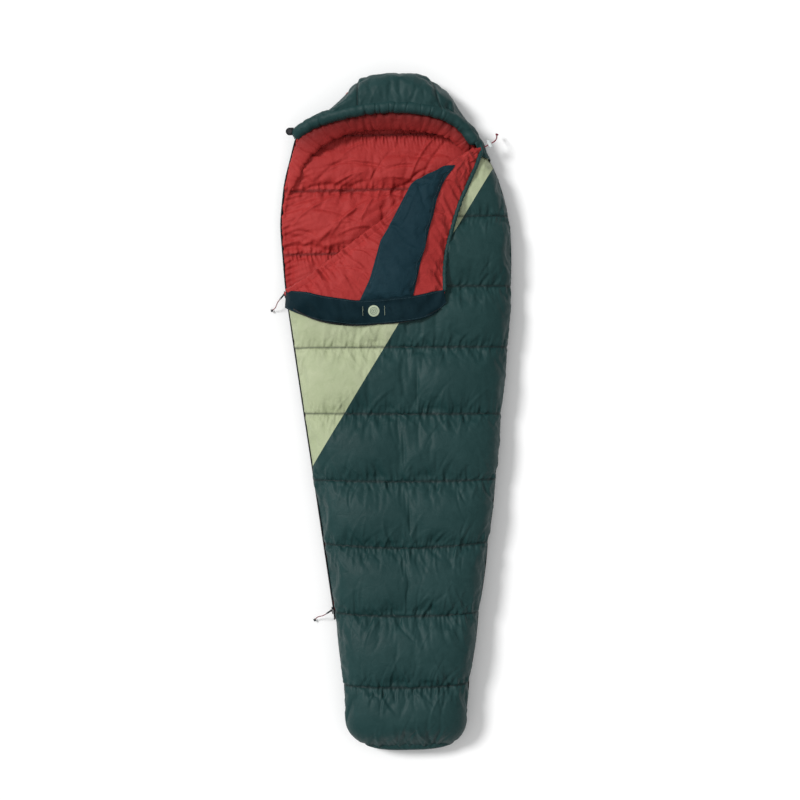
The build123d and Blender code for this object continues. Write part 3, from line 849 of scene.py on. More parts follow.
# %% Gathers and creases
def gathers(across, away, seed, spacing=0.016, reach=0.022):
    """Height of fine gathers at a distance across a seam's run and a distance away from the seam."""
    local = np.random.default_rng(seed)
    total = np.zeros_like(across)
    for part in range(5):
        wave = spacing * local.uniform(0.6, 2.2)
        lean = local.uniform(-0.35, 0.35)
        total += np.sin(2 * math.pi * (across + lean * away) / wave + local.uniform(0, 6.28))
    return total / 5 * np.exp(-(away / reach) ** 1.2)


def ridges(x, y, seed, count, region, way, spread, lengths=(0.02, 0.06), widths=(0.003, 0.006)):
    """Height of creases: raised and sunken lines in a region, within a spread of one direction."""
    local = np.random.default_rng(seed)
    total = np.zeros_like(x)
    for crease in range(count):
        at_x, at_y = local.uniform(region[0], region[1]), local.uniform(region[2], region[3])
        angle = way + local.uniform(-spread, spread)
        half, width = local.uniform(*lengths), local.uniform(*widths)
        rise = local.uniform(0.5, 1.0) * local.choice([-1.0, 1.0])
        along = (x - at_x) * math.cos(angle) + (y - at_y) * math.sin(angle)
        off = (y - at_y) * math.cos(angle) - (x - at_x) * math.sin(angle)
        total += rise * np.exp(-(along / half) ** 2 - ((off + 0.15 * along**2 / half) / width) ** 2)
    return total


def lower_peaks(heights, level, share):
    """Press down what stands above a level, so that loft stays inside the object's real height."""
    return np.where(heights > level, level + (heights - level) * share, heights)


def push_out(piece, heights):
    """Move every point of a piece along its own normal."""
    normals = np.empty(len(piece.data.vertices) * 3)
    piece.data.vertices.foreach_get("normal", normals)
    write_points(piece, read_points(piece) + normals.reshape(-1, 3) * heights[:, None])


def seam_gathers(points, offsets, height, seed):
    """Gathers on both sides of every seam, from each point's distance to each seam."""
    total = np.zeros(len(points))
    for k, offset in enumerate(offsets):
        for side in (0, 1):
            here = (np.abs(offset) < 0.09) & ((offset > 0) == bool(side))
            away = np.abs(offset[here])
            total[here] += gathers(points[here, 0], away, seed + 2 * k + side) * np.minimum(1, away / 0.005)
    return height * total


print("gathers stand up to", round(float(gathers(np.linspace(0, 1, 500), np.zeros(500), 1).max()), 2))

# %% [markdown]
# The flap's weight presses the front flat under it, and the lining is lowered under the hood, where
# the dome needs the room. Then every panel is refined.

# %% Press the front flat under the flap
PRESSED_EDGE = 0.004      # the front is pressed up to this far inside the flap's free edge
front_now = read_points(front)
along_here, reach_here = on_fold(front_now)
covered = (along_here > along_values[0]) & (reach_here < flap_reach(along_here) - PRESSED_EDGE)
ceiling = arch_height(front_now[:, 0], front_now[:, 1]) - 0.0005
front_now[:, 2] = np.where(covered, np.minimum(front_now[:, 2], ceiling), front_now[:, 2])
write_points(front, front_now)
lining_now = read_points(lining)
under_hood = np.clip((lining_now[:, 1] - 0.72) / 0.12, 0, 1)
lining_now[:, 2] = LINING_Z + (lining_now[:, 2] - LINING_Z) * (1 - 0.72 * under_hood**1.5)
write_points(lining, lining_now)
front_seam_lines = front_now.reshape(-1, FRONT_COLUMNS, 3)[front_seam_rows]
lining_seam_lines = lining_now.reshape(-1, LINING_COLUMNS, 3)[lining_seam_rows]
for piece, levels in ((front, 1), (lining, 2), (hood, 1), (flap, 2), (flap_under, 1)):
    refine(piece, levels)
    print(piece.name, "has", len(piece.data.vertices), "points")

# %% [markdown]
# Creases are drawn at random inside a region, most of them near one direction. On the front they
# stand across the seams, and each bay has its own draw.

# %% Creases of the front
FRONT_GATHER, FRONT_CREASE = 0.0060, 0.0032
points = read_points(front)
offsets = [points[:, 1] - seam_y(k, points[:, 0]) for k in range(len(FRONT_SEAMS))]
relief = seam_gathers(points, offsets, FRONT_GATHER, 100)
for k in range(len(FRONT_SEAMS) - 1):
    low, high = FRONT_SEAMS[k][1], FRONT_SEAMS[k + 1][1]
    half = (right_at(low) - left_at(low)) / 2
    middle = (right_at(low) + left_at(low)) / 2
    for seed, y0, y1 in ((500, low, low + 0.05), (600, high - 0.05, high)):
        relief += FRONT_CREASE * ridges(points[:, 0], points[:, 1], seed + k, 26,
                                        (middle - half, middle + half, y0, y1), math.pi / 2, 0.75)
push_out(front, relief)
print("front creases from", relief.min().round(4), "to", relief.max().round(4), "m")

# %% [markdown]
# The lining is gathered along the zip as well as at its seams, and it lies loose, so its creases
# are longer and deeper than the shell's.

# %% Creases of the underside's lining
LINING_GATHER, ZIP_GATHER, LINING_CREASE = 0.0085, 0.0095, 0.0068
points = read_points(lining)
relief = seam_gathers(points, [points[:, 1] - y for y in LINING_SEAMS], LINING_GATHER, 200)
from_zip = points[:, 0] - left_at(points[:, 1])
relief += ZIP_GATHER * gathers(points[:, 1], from_zip, 301, 0.024, 0.06) * np.minimum(1, from_zip / 0.012)
relief += LINING_CREASE * ridges(points[:, 0], points[:, 1], 311, 80, (-0.34, 0.15, 0.40, 0.84), 0.35, 0.7,
                                 (0.03, 0.09), (0.004, 0.009))
relief *= np.minimum(1, from_zip / 0.006)
push_out(lining, relief)
print("lining creases from", relief.min().round(4), "to", relief.max().round(4), "m")

# %% [markdown]
# The flap's lining is gathered along its free edge. Its creases are slanted: long ones lie to the
# left of the collar, and short ones between the collar and the piping. Near the tip they only
# stand up, because the two fabrics lie close together there.

# %% Creases of the flap
FLAP_GATHER, LEFT_CREASE, RIGHT_CREASE = 0.0085, 0.0065, 0.0045
TIP_FROM = 0.70
FLAP_LEVEL = 0.150        # above this height the flap's loft is pressed down by half
points = read_points(flap)
flap_along, reach = on_fold(points)
from_crest = np.maximum(0, reach - crest_in(flap_along))
from_free = np.maximum(0, flap_reach(flap_along) - reach)
relief = FLAP_GATHER * gathers(flap_along, from_free, 351, 0.028, 0.06) * np.minimum(1, from_free / 0.012)
relief += LEFT_CREASE * ridges(points[:, 0], points[:, 1], 361, 56, (-0.30, 0.02, 0.36, 0.62), -0.6, 0.6,
                               (0.03, 0.08), (0.004, 0.008))
relief += RIGHT_CREASE * ridges(points[:, 0], points[:, 1], 371, 40, (0.07, 0.26, 0.38, 0.80), -0.5, 0.5,
                                (0.015, 0.04), (0.003, 0.006))
relief *= np.minimum(1, np.minimum(from_crest, from_free) / 0.01)
relief = np.where(points[:, 1] > TIP_FROM, np.maximum(relief, 0), relief)
push_out(flap, relief)
points = read_points(flap)
points[:, 2] = lower_peaks(points[:, 2], FLAP_LEVEL, 0.5)
write_points(flap, points)
print("flap's highest point", points[:, 2].max().round(3), "m")

# %% Creases of the hood, which fade towards the floor
HOOD_CREASE = 0.0026
points = read_points(hood)
relief = HOOD_CREASE * ridges(points[:, 0], points[:, 1], 381, 60, (-0.30, 0.28, 0.86, 1.05), math.pi / 2, 0.6)
push_out(hood, relief * np.clip((points[:, 2] - 0.02) / 0.03, 0, 1))
print("hood's highest point", read_points(hood)[:, 2].max().round(3), "m")


# %% [markdown]
# ## Draft collar
# The padded collar lies on the flap's lining. It is wide at the zip and narrows to a tip at the
# neck, and its left edge hangs a little over the crest of the fold.

# %% Laying a piece on a surface
def drape_on(tree, x, y):
    """Heights of the surface under plan points; a point beside the surface takes its neighbour's."""
    heights = np.full(len(x), np.nan)
    for i, (a, b) in enumerate(zip(x, y)):
        hit = tree.ray_cast(Vector((a, b, 0.4)), Vector((0, 0, -1)))[0]
        if hit is not None:
            heights[i] = hit.z
    good = np.flatnonzero(~np.isnan(heights))
    if len(good) == 0:
        return arch_height(x, y)
    return np.interp(np.arange(len(x)), good, heights[good])


flap_surface = mesh_tree(flap)
points = read_points(flap_under)
points[:, 2] = np.minimum(points[:, 2], drape_on(flap_surface, points[:, 0], points[:, 1]) - 0.003)
write_points(flap_under, points)
print("flap's lower fabric lies at", points[:, 2].min().round(3), "to", points[:, 2].max().round(3), "m")

# %% [markdown]
# The collar's two edges are short tables of distance along the bag and across it. Its base is the
# flap's surface, and it is blown up once it lies there.

# %% Draft collar
LOFT_LEVEL = 0.174        # above this height padding is pressed down, as it is under its own cloth
COLLAR_LEFT = np.array([
    (0.345, -0.120), (0.415, -0.085), (0.502, -0.059), (0.533, -0.050), (0.567, -0.029), (0.608, -0.006),
    (0.660, 0.022), (0.700, 0.044), (0.719, 0.066), (0.740, 0.104), (0.757, 0.144), (0.764, 0.172)])
COLLAR_RIGHT = np.array([
    (0.345, 0.044), (0.412, 0.062), (0.459, 0.072), (0.508, 0.089), (0.565, 0.102), (0.608, 0.116),
    (0.658, 0.128), (0.701, 0.145), (0.729, 0.161), (0.757, 0.184), (0.764, 0.188)])
COLLAR_ROWS, COLLAR_COLUMNS = 76, 24
collar_points = []
for y in np.linspace(0.345, 0.764, COLLAR_ROWS):
    a = np.interp(y, COLLAR_LEFT[:, 0], COLLAR_LEFT[:, 1])
    b = np.interp(y, COLLAR_RIGHT[:, 0], COLLAR_RIGHT[:, 1])
    u = np.linspace(0, 1, COLLAR_COLUMNS)
    x = a + (b - a) * u
    rise = min(0.026, (b - a) * 0.32) * min(1, (y - 0.340) / 0.035)
    base = drape_on(flap_surface, x, np.full_like(x, y)) + 0.0015
    if y > 0.58:
        base[:8] = np.maximum(base[:8], base[8]) + 0.002
    collar_points.append(row_across(x, y, base + rise * np.sin(np.pi * u) ** 0.5))
collar_points = np.array(collar_points)
for column in range(COLLAR_COLUMNS):
    collar_points[:, column, 2] = smooth(collar_points[:, column, 2], 1.5)
collar = grid_mesh("draft_collar_pad", collar_points, [navy_taffeta])
billow([(collar, holding(collar_points, (0, -1)), 2.0, 0.07, 0.016)])
collar_now = read_points(collar).reshape(COLLAR_ROWS, COLLAR_COLUMNS, 3)
for side, columns_here in ((0, slice(1, 9)), (-1, slice(-9, -1))):
    away = np.abs(collar_now[:, columns_here, 0] - collar_now[:, side, 0][:, None])
    run = collar_now[:, columns_here, 1] + 0.4 * collar_now[:, columns_here, 0]
    puckers = 0.003 * gathers(run, away, 410 + side, 0.018, 0.03)
    collar_now[:, columns_here, 2] += puckers * np.minimum(1, away / 0.008)
collar_now[..., 2] = lower_peaks(collar_now[..., 2], LOFT_LEVEL, 0.4)
for row in collar_now:
    row[:, 2] = np.maximum(row[:, 2], drape_on(flap_surface, row[:, 0], row[:, 1]) + 0.003)
write_points(collar, collar_now.reshape(-1, 3))
refine(collar)
print("collar's highest point", collar_now[..., 2].max().round(3), "m")


# %% [markdown]
# ## The light corner panel
# The front's upper left is cut from a sage fabric. Its seam is straight, so the finished front is
# cut in two along an upright plane through it.

# %% Cut the front along the corner seam
def cut_copy(piece, name, point, normal, material):
    """The part of a piece on the positive side of a plane, as a new piece."""
    copy = piece.copy()
    copy.data = piece.data.copy()
    copy.name = copy.data.name = name
    bpy.context.scene.collection.objects.link(copy)
    cut = bmesh.new()
    cut.from_mesh(copy.data)
    everything = cut.verts[:] + cut.edges[:] + cut.faces[:]
    bmesh.ops.bisect_plane(cut, geom=everything, plane_co=point, plane_no=normal, clear_inner=True)
    cut.to_mesh(copy.data)
    cut.free()
    copy.data.materials.clear()
    copy.data.materials.append(material)
    return copy


def upright_plane(low, high):
    """A point and the normal of the upright plane through two plan points, facing right of the way up."""
    way = (high - low) / np.linalg.norm(high - low)
    return Vector((*low, 0)), Vector((way[1], -way[0], 0))


SEAM_LOW, SEAM_HIGH = np.array([-0.283, -0.173]), np.array([0.306, 0.756])
NECK_LOW, NECK_HIGH = np.array([0.310, 0.761]), np.array([0.289, 0.805])
seam_point, seam_normal = upright_plane(SEAM_LOW, SEAM_HIGH)
neck_point, neck_normal = upright_plane(NECK_LOW, NECK_HIGH)
front_main = cut_copy(front, "front_shell_green", seam_point, seam_normal, green_taffeta)
both_colours = cut_copy(front, "sage_side", seam_point, -seam_normal, sage_taffeta)
front_corner = cut_copy(both_colours, "front_shell_sage", neck_point, -neck_normal, sage_taffeta)
neck_side = cut_copy(both_colours, "neck_side", neck_point, neck_normal, green_taffeta)
with bpy.context.temp_override(active_object=front_main, selected_editable_objects=[front_main, neck_side]):
    bpy.ops.object.join()
bpy.data.objects.remove(both_colours)
front_surface = mesh_tree(front)
bpy.data.objects.remove(front)
print("green panel", len(front_main.data.polygons), "faces, sage panel", len(front_corner.data.polygons))

# %% Put the panels on their bodies
finish_piece(front_main, "bag", ["front_shell_main"])
finish_piece(front_corner, "bag", ["front_shell_corner"])
finish_piece(lining, "bag", ["bottom_liner"])
finish_piece(hood, "bag", ["hood_shell_left", "hood_shell_centre", "hood_shell_right"])
finish_piece(flap, "flap", ["flap_liner", "flap_insulation"])
finish_piece(flap_under, "flap", ["flap_shell"])
finish_piece(collar, "flap", ["draft_collar"])
print("seven panels are in place")


# %% [markdown]
# ## Gathered tubes
# The hood's rim is a channel with the drawcord inside, so its fabric is gathered into many small
# puckers. The red roll under it is gathered in the same way, with deeper puckers.

# %% Puckers along a line
def frame_along(line):
    """Along, up and side directions at each point of a line."""
    way = np.gradient(line, axis=0)
    way /= np.linalg.norm(way, axis=1, keepdims=True)
    side = np.cross(way, [0, 0, 1.0])
    side /= np.linalg.norm(side, axis=1, keepdims=True)
    return way, np.cross(side, way), side


def tube_gathers(along, turns, spacing, seed, creases=0.0):
    """Puckers across a tube, which come and go along and around it, and some sharp creases."""
    local = np.random.default_rng(seed)
    relief = np.zeros((len(along), len(turns)))
    for harmonic in range(9):
        wave = spacing * local.uniform(0.6, 1.9)
        phase = local.uniform(0, 6.28)
        twist = local.integers(-2, 3)
        gate = np.cos(2 * math.pi * along / (wave * local.uniform(5, 9)) + local.uniform(0, 6.28))
        relief += np.cos(2 * math.pi * along / wave + phase)[:, None] * np.cos(
            twist * turns + local.uniform(0, 6.28))[None, :] * (0.6 + 0.4 * gate)[:, None]
    relief = np.tanh(relief / 1.6) - 0.3 * np.abs(relief) / 3
    at = 0.02
    while creases > 0 and at < along[-1] - 0.02:
        faces_way, lean = local.uniform(0, 6.28), local.uniform(-0.006, 0.006)
        width = local.uniform(0.0022, 0.005)
        window = np.clip(np.cos(turns - faces_way) + 0.45, 0, 1)
        groove = np.exp(-((along[:, None] - at - lean * np.sin(turns - faces_way)[None, :]) / width) ** 2)
        relief -= creases * local.uniform(0.4, 1.0) * groove * window[None, :]
        at += local.uniform(0.008, 0.042)
    return relief


def distance_along(line):
    return np.concatenate([[0], np.cumsum(np.linalg.norm(np.diff(line, axis=0), axis=1))])


print("a 1 m tube has puckers of", tube_gathers(np.linspace(0, 1, 90), np.zeros(1), 0.03, 1).std().round(2))

# %% [markdown]
# A tube is a ring of points at every step along its line. A flattened ring lies between two edges.
# Both get thinner at their ends, where they are sewn in.

# %% Tubes and rings
def gathered_tube(name, line, radius, depth, spacing, material, seed, around=40):
    """A round padded tube with puckers across it."""
    way, up, side = frame_along(line)
    along = distance_along(line)
    turns = np.linspace(0, 2 * math.pi, around, endpoint=False)
    relief = tube_gathers(along, turns, spacing, seed, 2.2)
    swell = np.minimum(1, np.minimum(along, along[-1] - along) / (radius * 1.2))
    ends = np.sqrt(np.clip(1 - (1 - swell) ** 2, 0.02, 1))
    r = radius * ends[:, None] * (1 + depth * relief)
    points = line[:, None] + r[..., None] * (np.cos(turns)[None, :, None] * up[:, None]
                                             + np.sin(turns)[None, :, None] * side[:, None])
    tube = grid_mesh(name, points, [material], wrap=True)
    refine(tube)
    return tube


def padded_ring(name, outer_edge, inner_edge, tall, depth, spacing, material, seed, around=44):
    """A flattened padded tube between two edges, thin at its ends and sewn in along its outer edge."""
    middle = (outer_edge + inner_edge) / 2
    across = (outer_edge - inner_edge) / 2
    way = np.gradient(middle, axis=0)
    way /= np.linalg.norm(way, axis=1, keepdims=True)
    up = np.cross(way, across)
    up /= np.linalg.norm(up, axis=1, keepdims=True)
    up *= np.sign(up[:, 2:])
    along = distance_along(middle)
    turns = np.linspace(0, 2 * math.pi, around, endpoint=False)
    relief = 1 + depth * tube_gathers(along, turns, spacing, seed, 1.6)
    thin = np.clip(np.minimum(along, along[-1] - along) / 0.10, 0.02, 1) ** 0.6
    across = across * np.clip(np.minimum(along, along[-1] - along) / 0.07, 0.12, 1)[:, None] ** 0.7
    c, s = np.cos(turns)[None, :, None], np.sin(turns)[None, :, None]
    c, s = np.sign(c) * np.abs(c) ** 0.85, np.sign(s) * np.abs(s) ** 0.85
    points = middle[:, None] + relief[..., None] * (
        across[:, None] * c + up[:, None] * (tall * thin)[:, None, None] * s)
    ring = grid_mesh(name, points, [material], wrap=True)
    # Painted shade, stored as the seam value: darkest along the outer edge tucked under the rim, fading out
    # below the hood's top, and reaching further down on the right side.
    shade = np.clip(0.62 + 0.38 * np.cos(turns)[None, :], 0, 1)
    begins = 0.80 - 0.10 * np.clip((points[:, :1, 0] - 0.05) / 0.1, 0, 1)
    shade = shade * np.clip((points[:, :1, 1] - begins) / 0.09, 0.1, 1)
    mark = ring.data.attributes.new("seam", "FLOAT", "POINT")
    mark.data.foreach_set("value", shade.astype(np.float32).reshape(-1))
    refine(ring)
    return ring


def soft_line(points, count, width=7):
    """A line through given points with its corners smoothed away."""
    return smooth_line(resample(np.array(points, float), count), width)


print("soft lines keep their ends:", soft_line([(0, 0, 0), (1, 0, 0)], 30)[-1].round(2))

# %% [markdown]
# The rim follows the drawcord of the CAD model. At its left end it comes down to the zip.

# %% Rim tube
RIM_RADIUS, RIM_PUCKER, RIM_SPACING = 0.0195, 0.062, 0.034
rim_start = np.array([[-0.3115, 0.872, 0.052], [-0.305, 0.883, 0.064]])
rim_path = smooth_line(resample(np.vstack([rim_start, rim_line[6:]]), 460), 6)
rim = gathered_tube("hood_rim", rim_path, RIM_RADIUS, RIM_PUCKER, RIM_SPACING, green_taffeta, 11)
finish_piece(rim, "bag", ["hood_rim_tube", "hood_rim_padding", "hood_drawcord"])
print("rim is", distance_along(rim_path)[-1].round(2), "m long")

# %% [markdown]
# The red face roll hangs under the rim. Its outer edge is sewn in just below the rim and its inner
# edge lies lower, inside the hood. It carries a seam value too, which paints shade on it: it is
# darker where it is tucked under the rim.

# %% Face roll under the rim
RING_OUTER = [
    (-0.356, 0.700, 0.041), (-0.345, 0.745, 0.043), (-0.330, 0.790, 0.046), (-0.3165, 0.835, 0.048),
    (-0.303, 0.876, 0.062), (-0.262, 0.896, 0.078), (-0.201, 0.917, 0.088), (-0.094, 0.937, 0.094),
    (0.025, 0.939, 0.094), (0.130, 0.922, 0.091), (0.195, 0.893, 0.086), (0.230, 0.862, 0.080),
    (0.249, 0.828, 0.074), (0.247, 0.786, 0.066),
]
RING_INNER = [
    (-0.322, 0.690, 0.046), (-0.304, 0.730, 0.050), (-0.291, 0.768, 0.055), (-0.262, 0.813, 0.062),
    (-0.208, 0.853, 0.066), (-0.135, 0.883, 0.068), (-0.079, 0.890, 0.068), (0.043, 0.888, 0.068),
    (0.140, 0.872, 0.068), (0.193, 0.842, 0.066), (0.219, 0.790, 0.060), (0.221, 0.770, 0.056),
]
ring_outer, ring_inner = soft_line(RING_OUTER, 330), soft_line(RING_INNER, 330)
under_rim = np.interp(ring_outer[:, 0], rim_line[:, 0], rim_line[:, 2]) - 0.013
share = np.clip((ring_outer[:, 1] - 0.86) / 0.04, 0, 1)
ring_outer[:, 2] = ring_outer[:, 2] * (1 - share) + np.maximum(under_rim, ring_outer[:, 2]) * share
smooth_line(ring_outer, 5)
ring = padded_ring("hood_face_roll_cloth", ring_outer, ring_inner, 0.0165, 0.11, 0.026, red_taffeta, 12)
finish_piece(ring, "bag", ["hood_face_roll"])
print("face roll is", distance_along(ring_inner)[-1].round(2), "m long on its inner edge")

# %% [markdown]
# The hood's lining is the dome once more, drawn in a little to lie inside the shell.

# %% Hood lining
LINING_SHARE = 0.91       # its plan size beside the shell's
inner_points = []
for v in np.linspace(0, 1, HOOD_ROWS):
    turn = v * math.pi / 2
    reach = math.sin(turn) ** 0.85
    line = rim_edge * (1 - reach) + base_edge * reach
    line[:, :2] = HOOD_MIDDLE + (line[:, :2] - HOOD_MIDDLE) * LINING_SHARE
    line[:, 2] = PARTING_Z + (rim_edge[:, 2] - PARTING_Z - HOOD_FULL) * math.cos(turn) ** 0.8
    inner_points.append(line)
hood_lining = grid_mesh("hood_lining", np.array(inner_points)[:, ::-1], [red_taffeta])
refine(hood_lining)
finish_piece(hood_lining, "bag", ["hood_liner", "hood_insulation"])
print("hood lining has", len(hood_lining.data.vertices), "points")

# %% [markdown]
# ## Underside, footbox and the lining of the front
# The underside is the same quilted shell, pressed flat where it lies on the floor. The footbox
# closes the foot with an upright panel. The front's own lining shows along the fold and inside.

# %% Underside shell
UNDER_SEAMS = [-1.046, -0.845, -0.627, -0.410, -0.211, -0.004, 0.203, 0.392, 0.608, 0.80, 0.93, 1.062]
UNDER_CELL = 0.010
under_places, under_seam_rows = seam_rows(
    [int(round((b - a) / UNDER_CELL)) for a, b in zip(UNDER_SEAMS, UNDER_SEAMS[1:])])
UNDER_COLUMNS = 120
HEAD_ROUND = 0.036        # over this length the underside turns up behind the hood
creases = rng.uniform(0, 6.28, 8)
under_points = []
for k, share in under_places:
    y = UNDER_SEAMS[k] * (1 - share) + UNDER_SEAMS[k + 1] * share
    on_zip = ZIP_FROM < y < ZIP_TO
    low = left_at(y) + (0.0024 if on_zip else edge_inset(share) + 0.0004)
    high = right_at(y) - edge_inset(share)
    r = PARTING_Z - 0.001
    turn = np.linspace(0.33 if on_zip else 0.0, math.pi / 2, 30)
    left_x = low + r - r * np.cos(turn)
    left_z = PARTING_Z - r * np.sin(turn)
    turn = np.linspace(math.pi / 2, -0.05, 30)
    flat_x = np.linspace(low + r, high - r, 60)[1:-1]
    right_x = high - r + r * np.cos(turn)
    right_z = PARTING_Z - r * np.sin(turn)
    x = np.concatenate([left_x, flat_x, right_x])
    z = np.concatenate([left_z, np.full_like(flat_x, left_z[-1]), right_z])
    past = max(0.0, (y - (UNDER_SEAMS[-1] - HEAD_ROUND)) / HEAD_ROUND)
    z = PARTING_Z - (PARTING_Z - z) * math.sqrt(max(0.0, 1 - past**2))
    hollow = 0.003 * (1 - math.sin(math.pi * share) ** 0.4)
    z = z + hollow * (z < 0.012)
    line = resample(row_across(x, y, z), UNDER_COLUMNS)
    ripple = np.sin(line[:, 0] * 130 + creases[k % 8] + 2 * np.sin(y * 40 + creases[(k + 3) % 8]))
    line[:, 2] += 0.0012 * ripple * (line[:, 2] < 0.02) * math.sin(math.pi * share) ** 0.5 + 0.0008
    under_points.append(line)
under = grid_mesh("underside_shell", np.array(under_points), [green_taffeta])
mark_seams(under, len(under_places), UNDER_COLUMNS, under_seam_rows)
refine(under)
finish_piece(under, "bag", ["bottom_shell", "bottom_insulation"])
print("underside has", len(under_places), "rows and", UNDER_COLUMNS, "columns")

# %% [markdown]
# The end panel starts as a ring inside the foot's outline, over the arch and back under the bag.
# Rings that shrink and move outwards close it as a shallow cushion with puckers at its seam.

# %% Footbox end panel
end_rows, end_columns = 16, 120
y_seam = FRONT_SEAMS[0][1] + 0.012
top_turn = np.linspace(math.pi, 0, 200)
ring_x, ring_z = arch_at(y_seam, top_turn, SEAM_DEPTH + 0.006)
low, high = left_at(y_seam) + 0.01, right_at(y_seam) - 0.01
r = PARTING_Z - 0.004
turn = np.linspace(0, math.pi / 2, 30)
under_x = np.concatenate([high - r + r * np.cos(turn), low + r - r * np.cos(turn[::-1])])
under_z = np.concatenate([PARTING_Z - r * np.sin(turn), PARTING_Z - r * np.sin(turn[::-1])])
ring = np.stack([np.concatenate([ring_x, under_x]), np.zeros(260), np.concatenate([ring_z, under_z])], axis=1)
ring = resample(np.vstack([ring, ring[:1]]), end_columns + 1)[:-1]
centre = np.array([(low + high) / 2, 0, 0.060])
end_points = []
bulge = abs(cad_box[0][1] - y_seam)
for v in np.linspace(0, 1, end_rows):
    line = centre + (ring - centre) * math.cos(v * math.pi / 2) ** 0.7
    line[:, 1] = y_seam - bulge * math.sin(v * math.pi / 2) ** 0.8
    step = np.arange(end_columns)
    pucker = 0.0025 * np.sin(step * 1.9 + 0.7 * np.sin(step * 0.37))
    line[:, 2] += pucker * (1 - v) * math.sin(min(1, v * 4) * math.pi / 2)
    end_points.append(line)
footbox = grid_mesh("footbox_panel", np.array(end_points), [green_taffeta], wrap=True)
refine(footbox)
finish_piece(footbox, "bag", ["footbox_shell", "footbox_insulation", "footbox_liner"])
print("footbox bulges", round(bulge, 3), "m")

# %% [markdown]
# The front's lining lies under its shell by the thickness of the padding. It is drawn in near the
# two sides to lie inside the shell.

# %% Lining of the front
FRONT_LOFT, LINING_DRAWN_IN = 0.030, 0.022
front_lining_points = []
for line in front_points[::2]:
    inner = line.copy()
    middle = (left_at(line[:, 1]) + right_at(line[:, 1])) / 2
    inner[:, 2] = np.maximum(line[:, 2] - FRONT_LOFT, PARTING_Z + 0.004)
    half = np.abs(line[:, 0] - middle)
    edge_share = half / half.max()
    inner[:, 0] -= np.sign(line[:, 0] - middle) * LINING_DRAWN_IN * np.clip((edge_share - 0.6) / 0.3, 0, 1)
    inner[0] = line[0] - [0, 0, 0.001]
    front_lining_points.append(inner)
front_lining = grid_mesh("front_lining", np.array(front_lining_points), [red_taffeta])
refine(front_lining)
finish_piece(front_lining, "bag", ["front_liner", "front_insulation"])
print("front lining has", len(front_lining.data.vertices), "points")

# %% [markdown]
# ## Band, patch and piping on the flap
# A stiff navy band backs the zip edge, so that the slider doesn't catch the lining. A round patch
# is sewn on it. The neck edge of the flap is bound with a narrow green piping.

# %% Band
BAND_TOP = [
    (-0.350, 0.389, 0), (-0.283, 0.381, 0), (-0.243, 0.368, 0), (-0.131, 0.350, 0), (-0.062, 0.351, 0),
    (0.048, 0.360, 0), (0.145, 0.379, 0),
]
BAND_LOW = [
    (-0.356, 0.334, 0), (-0.326, 0.318, 0), (-0.245, 0.288, 0), (-0.138, 0.271, 0), (-0.035, 0.275, 0),
    (0.062, 0.284, 0), (0.113, 0.299, 0), (0.152, 0.336, 0),
]
BAND_COLUMNS, BAND_ROWS = 170, 16
band_top, band_low = soft_line(BAND_TOP, BAND_COLUMNS, 4), soft_line(BAND_LOW, BAND_COLUMNS, 4)
band_base = mesh_tree(flap, collar)
band_points = []
for top, low in zip(band_top, band_low):
    u = np.linspace(0, 1, BAND_ROWS)[:, None]
    column = low * (1 - u) + top * u
    column[:, 2] = drape_on(band_base, column[:, 0], column[:, 1])
    band_points.append(column)
band_points = np.array(band_points)
for row in range(BAND_ROWS):
    band_points[:, row, 2] = smooth(band_points[:, row, 2], 2.5)
for column in range(BAND_COLUMNS):
    band_points[column, :, 2] = smooth(band_points[column, :, 2], 1.2)
u = np.linspace(0, 1, BAND_ROWS)[None, :]
band_x, band_y = band_points[..., 0], band_points[..., 1]
band_points[..., 2] += 0.0055 + 0.004 * np.sin(np.pi * u) ** 0.5
band_points[..., 2] += 0.0016 * np.sin(band_x * 95 + 1.7 * np.sin(band_x * 31) + u * 2.2)
band_points[..., 2] += 0.0012 * gathers(band_x, np.abs(band_y - band_y[:, -1:]), 77, 0.02, 0.03)
band_points[..., 2] = lower_peaks(band_points[..., 2], LOFT_LEVEL, 0.5)
band = grid_mesh("zip_band_cloth", band_points[:, ::-1], [band_cloth])
thick = band.modifiers.new("thickness", "SOLIDIFY")
thick.thickness = 0.003
thick.offset = -1
refine(band)
band_surface = mesh_tree(band)
finish_piece(band, "flap", ["zip_band"])
print("band is", distance_along(band_low)[-1].round(2), "m long")

# %% [markdown]
# The patch is a thin domed disc with embroidered rings, which are ridges in the mesh and a second
# thread colour. It leans with the cloth under it: a plane is fitted to twelve heights on its edge.

# %% Round patch
PATCH_SIDES = 48
badge_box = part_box("badge")
badge_x, badge_y = [(badge_box[0][k] + badge_box[1][k]) / 2 for k in (0, 1)]
badge_r = (badge_box[1][0] - badge_box[0][0]) / 2
turn = np.linspace(0, 2 * math.pi, 12, endpoint=False)
rim_x, rim_y = badge_x + badge_r * np.cos(turn), badge_y + badge_r * np.sin(turn)
rim_z = drape_on(band_surface, rim_x, rim_y)
lean_x = float((rim_z * np.cos(turn)).mean() * 2 / badge_r)
lean_y = float((rim_z * np.sin(turn)).mean() * 2 / badge_r)
badge_z = float(rim_z.mean()) + 0.0012
RINGS = 26
patch_points = []
for step in range(RINGS + 1):
    r = badge_r * step / RINGS
    turn = np.linspace(0, 2 * math.pi, PATCH_SIDES, endpoint=False)
    ridge = 0.0007 * math.cos(step / RINGS * 2 * math.pi * 4)
    dome = 0.0022 * (1 - (r / badge_r) ** 4) + ridge
    patch_points.append(np.stack([
        badge_x + r * np.cos(turn), badge_y + r * np.sin(turn),
        badge_z + dome + r * (lean_x * np.cos(turn) + lean_y * np.sin(turn))], axis=1))
rings_pale = fabric("patch_thread", (0.36, 0.42, 0.30), (0.46, 0.52, 0.38), roughness=0.8, weave=2200.0)
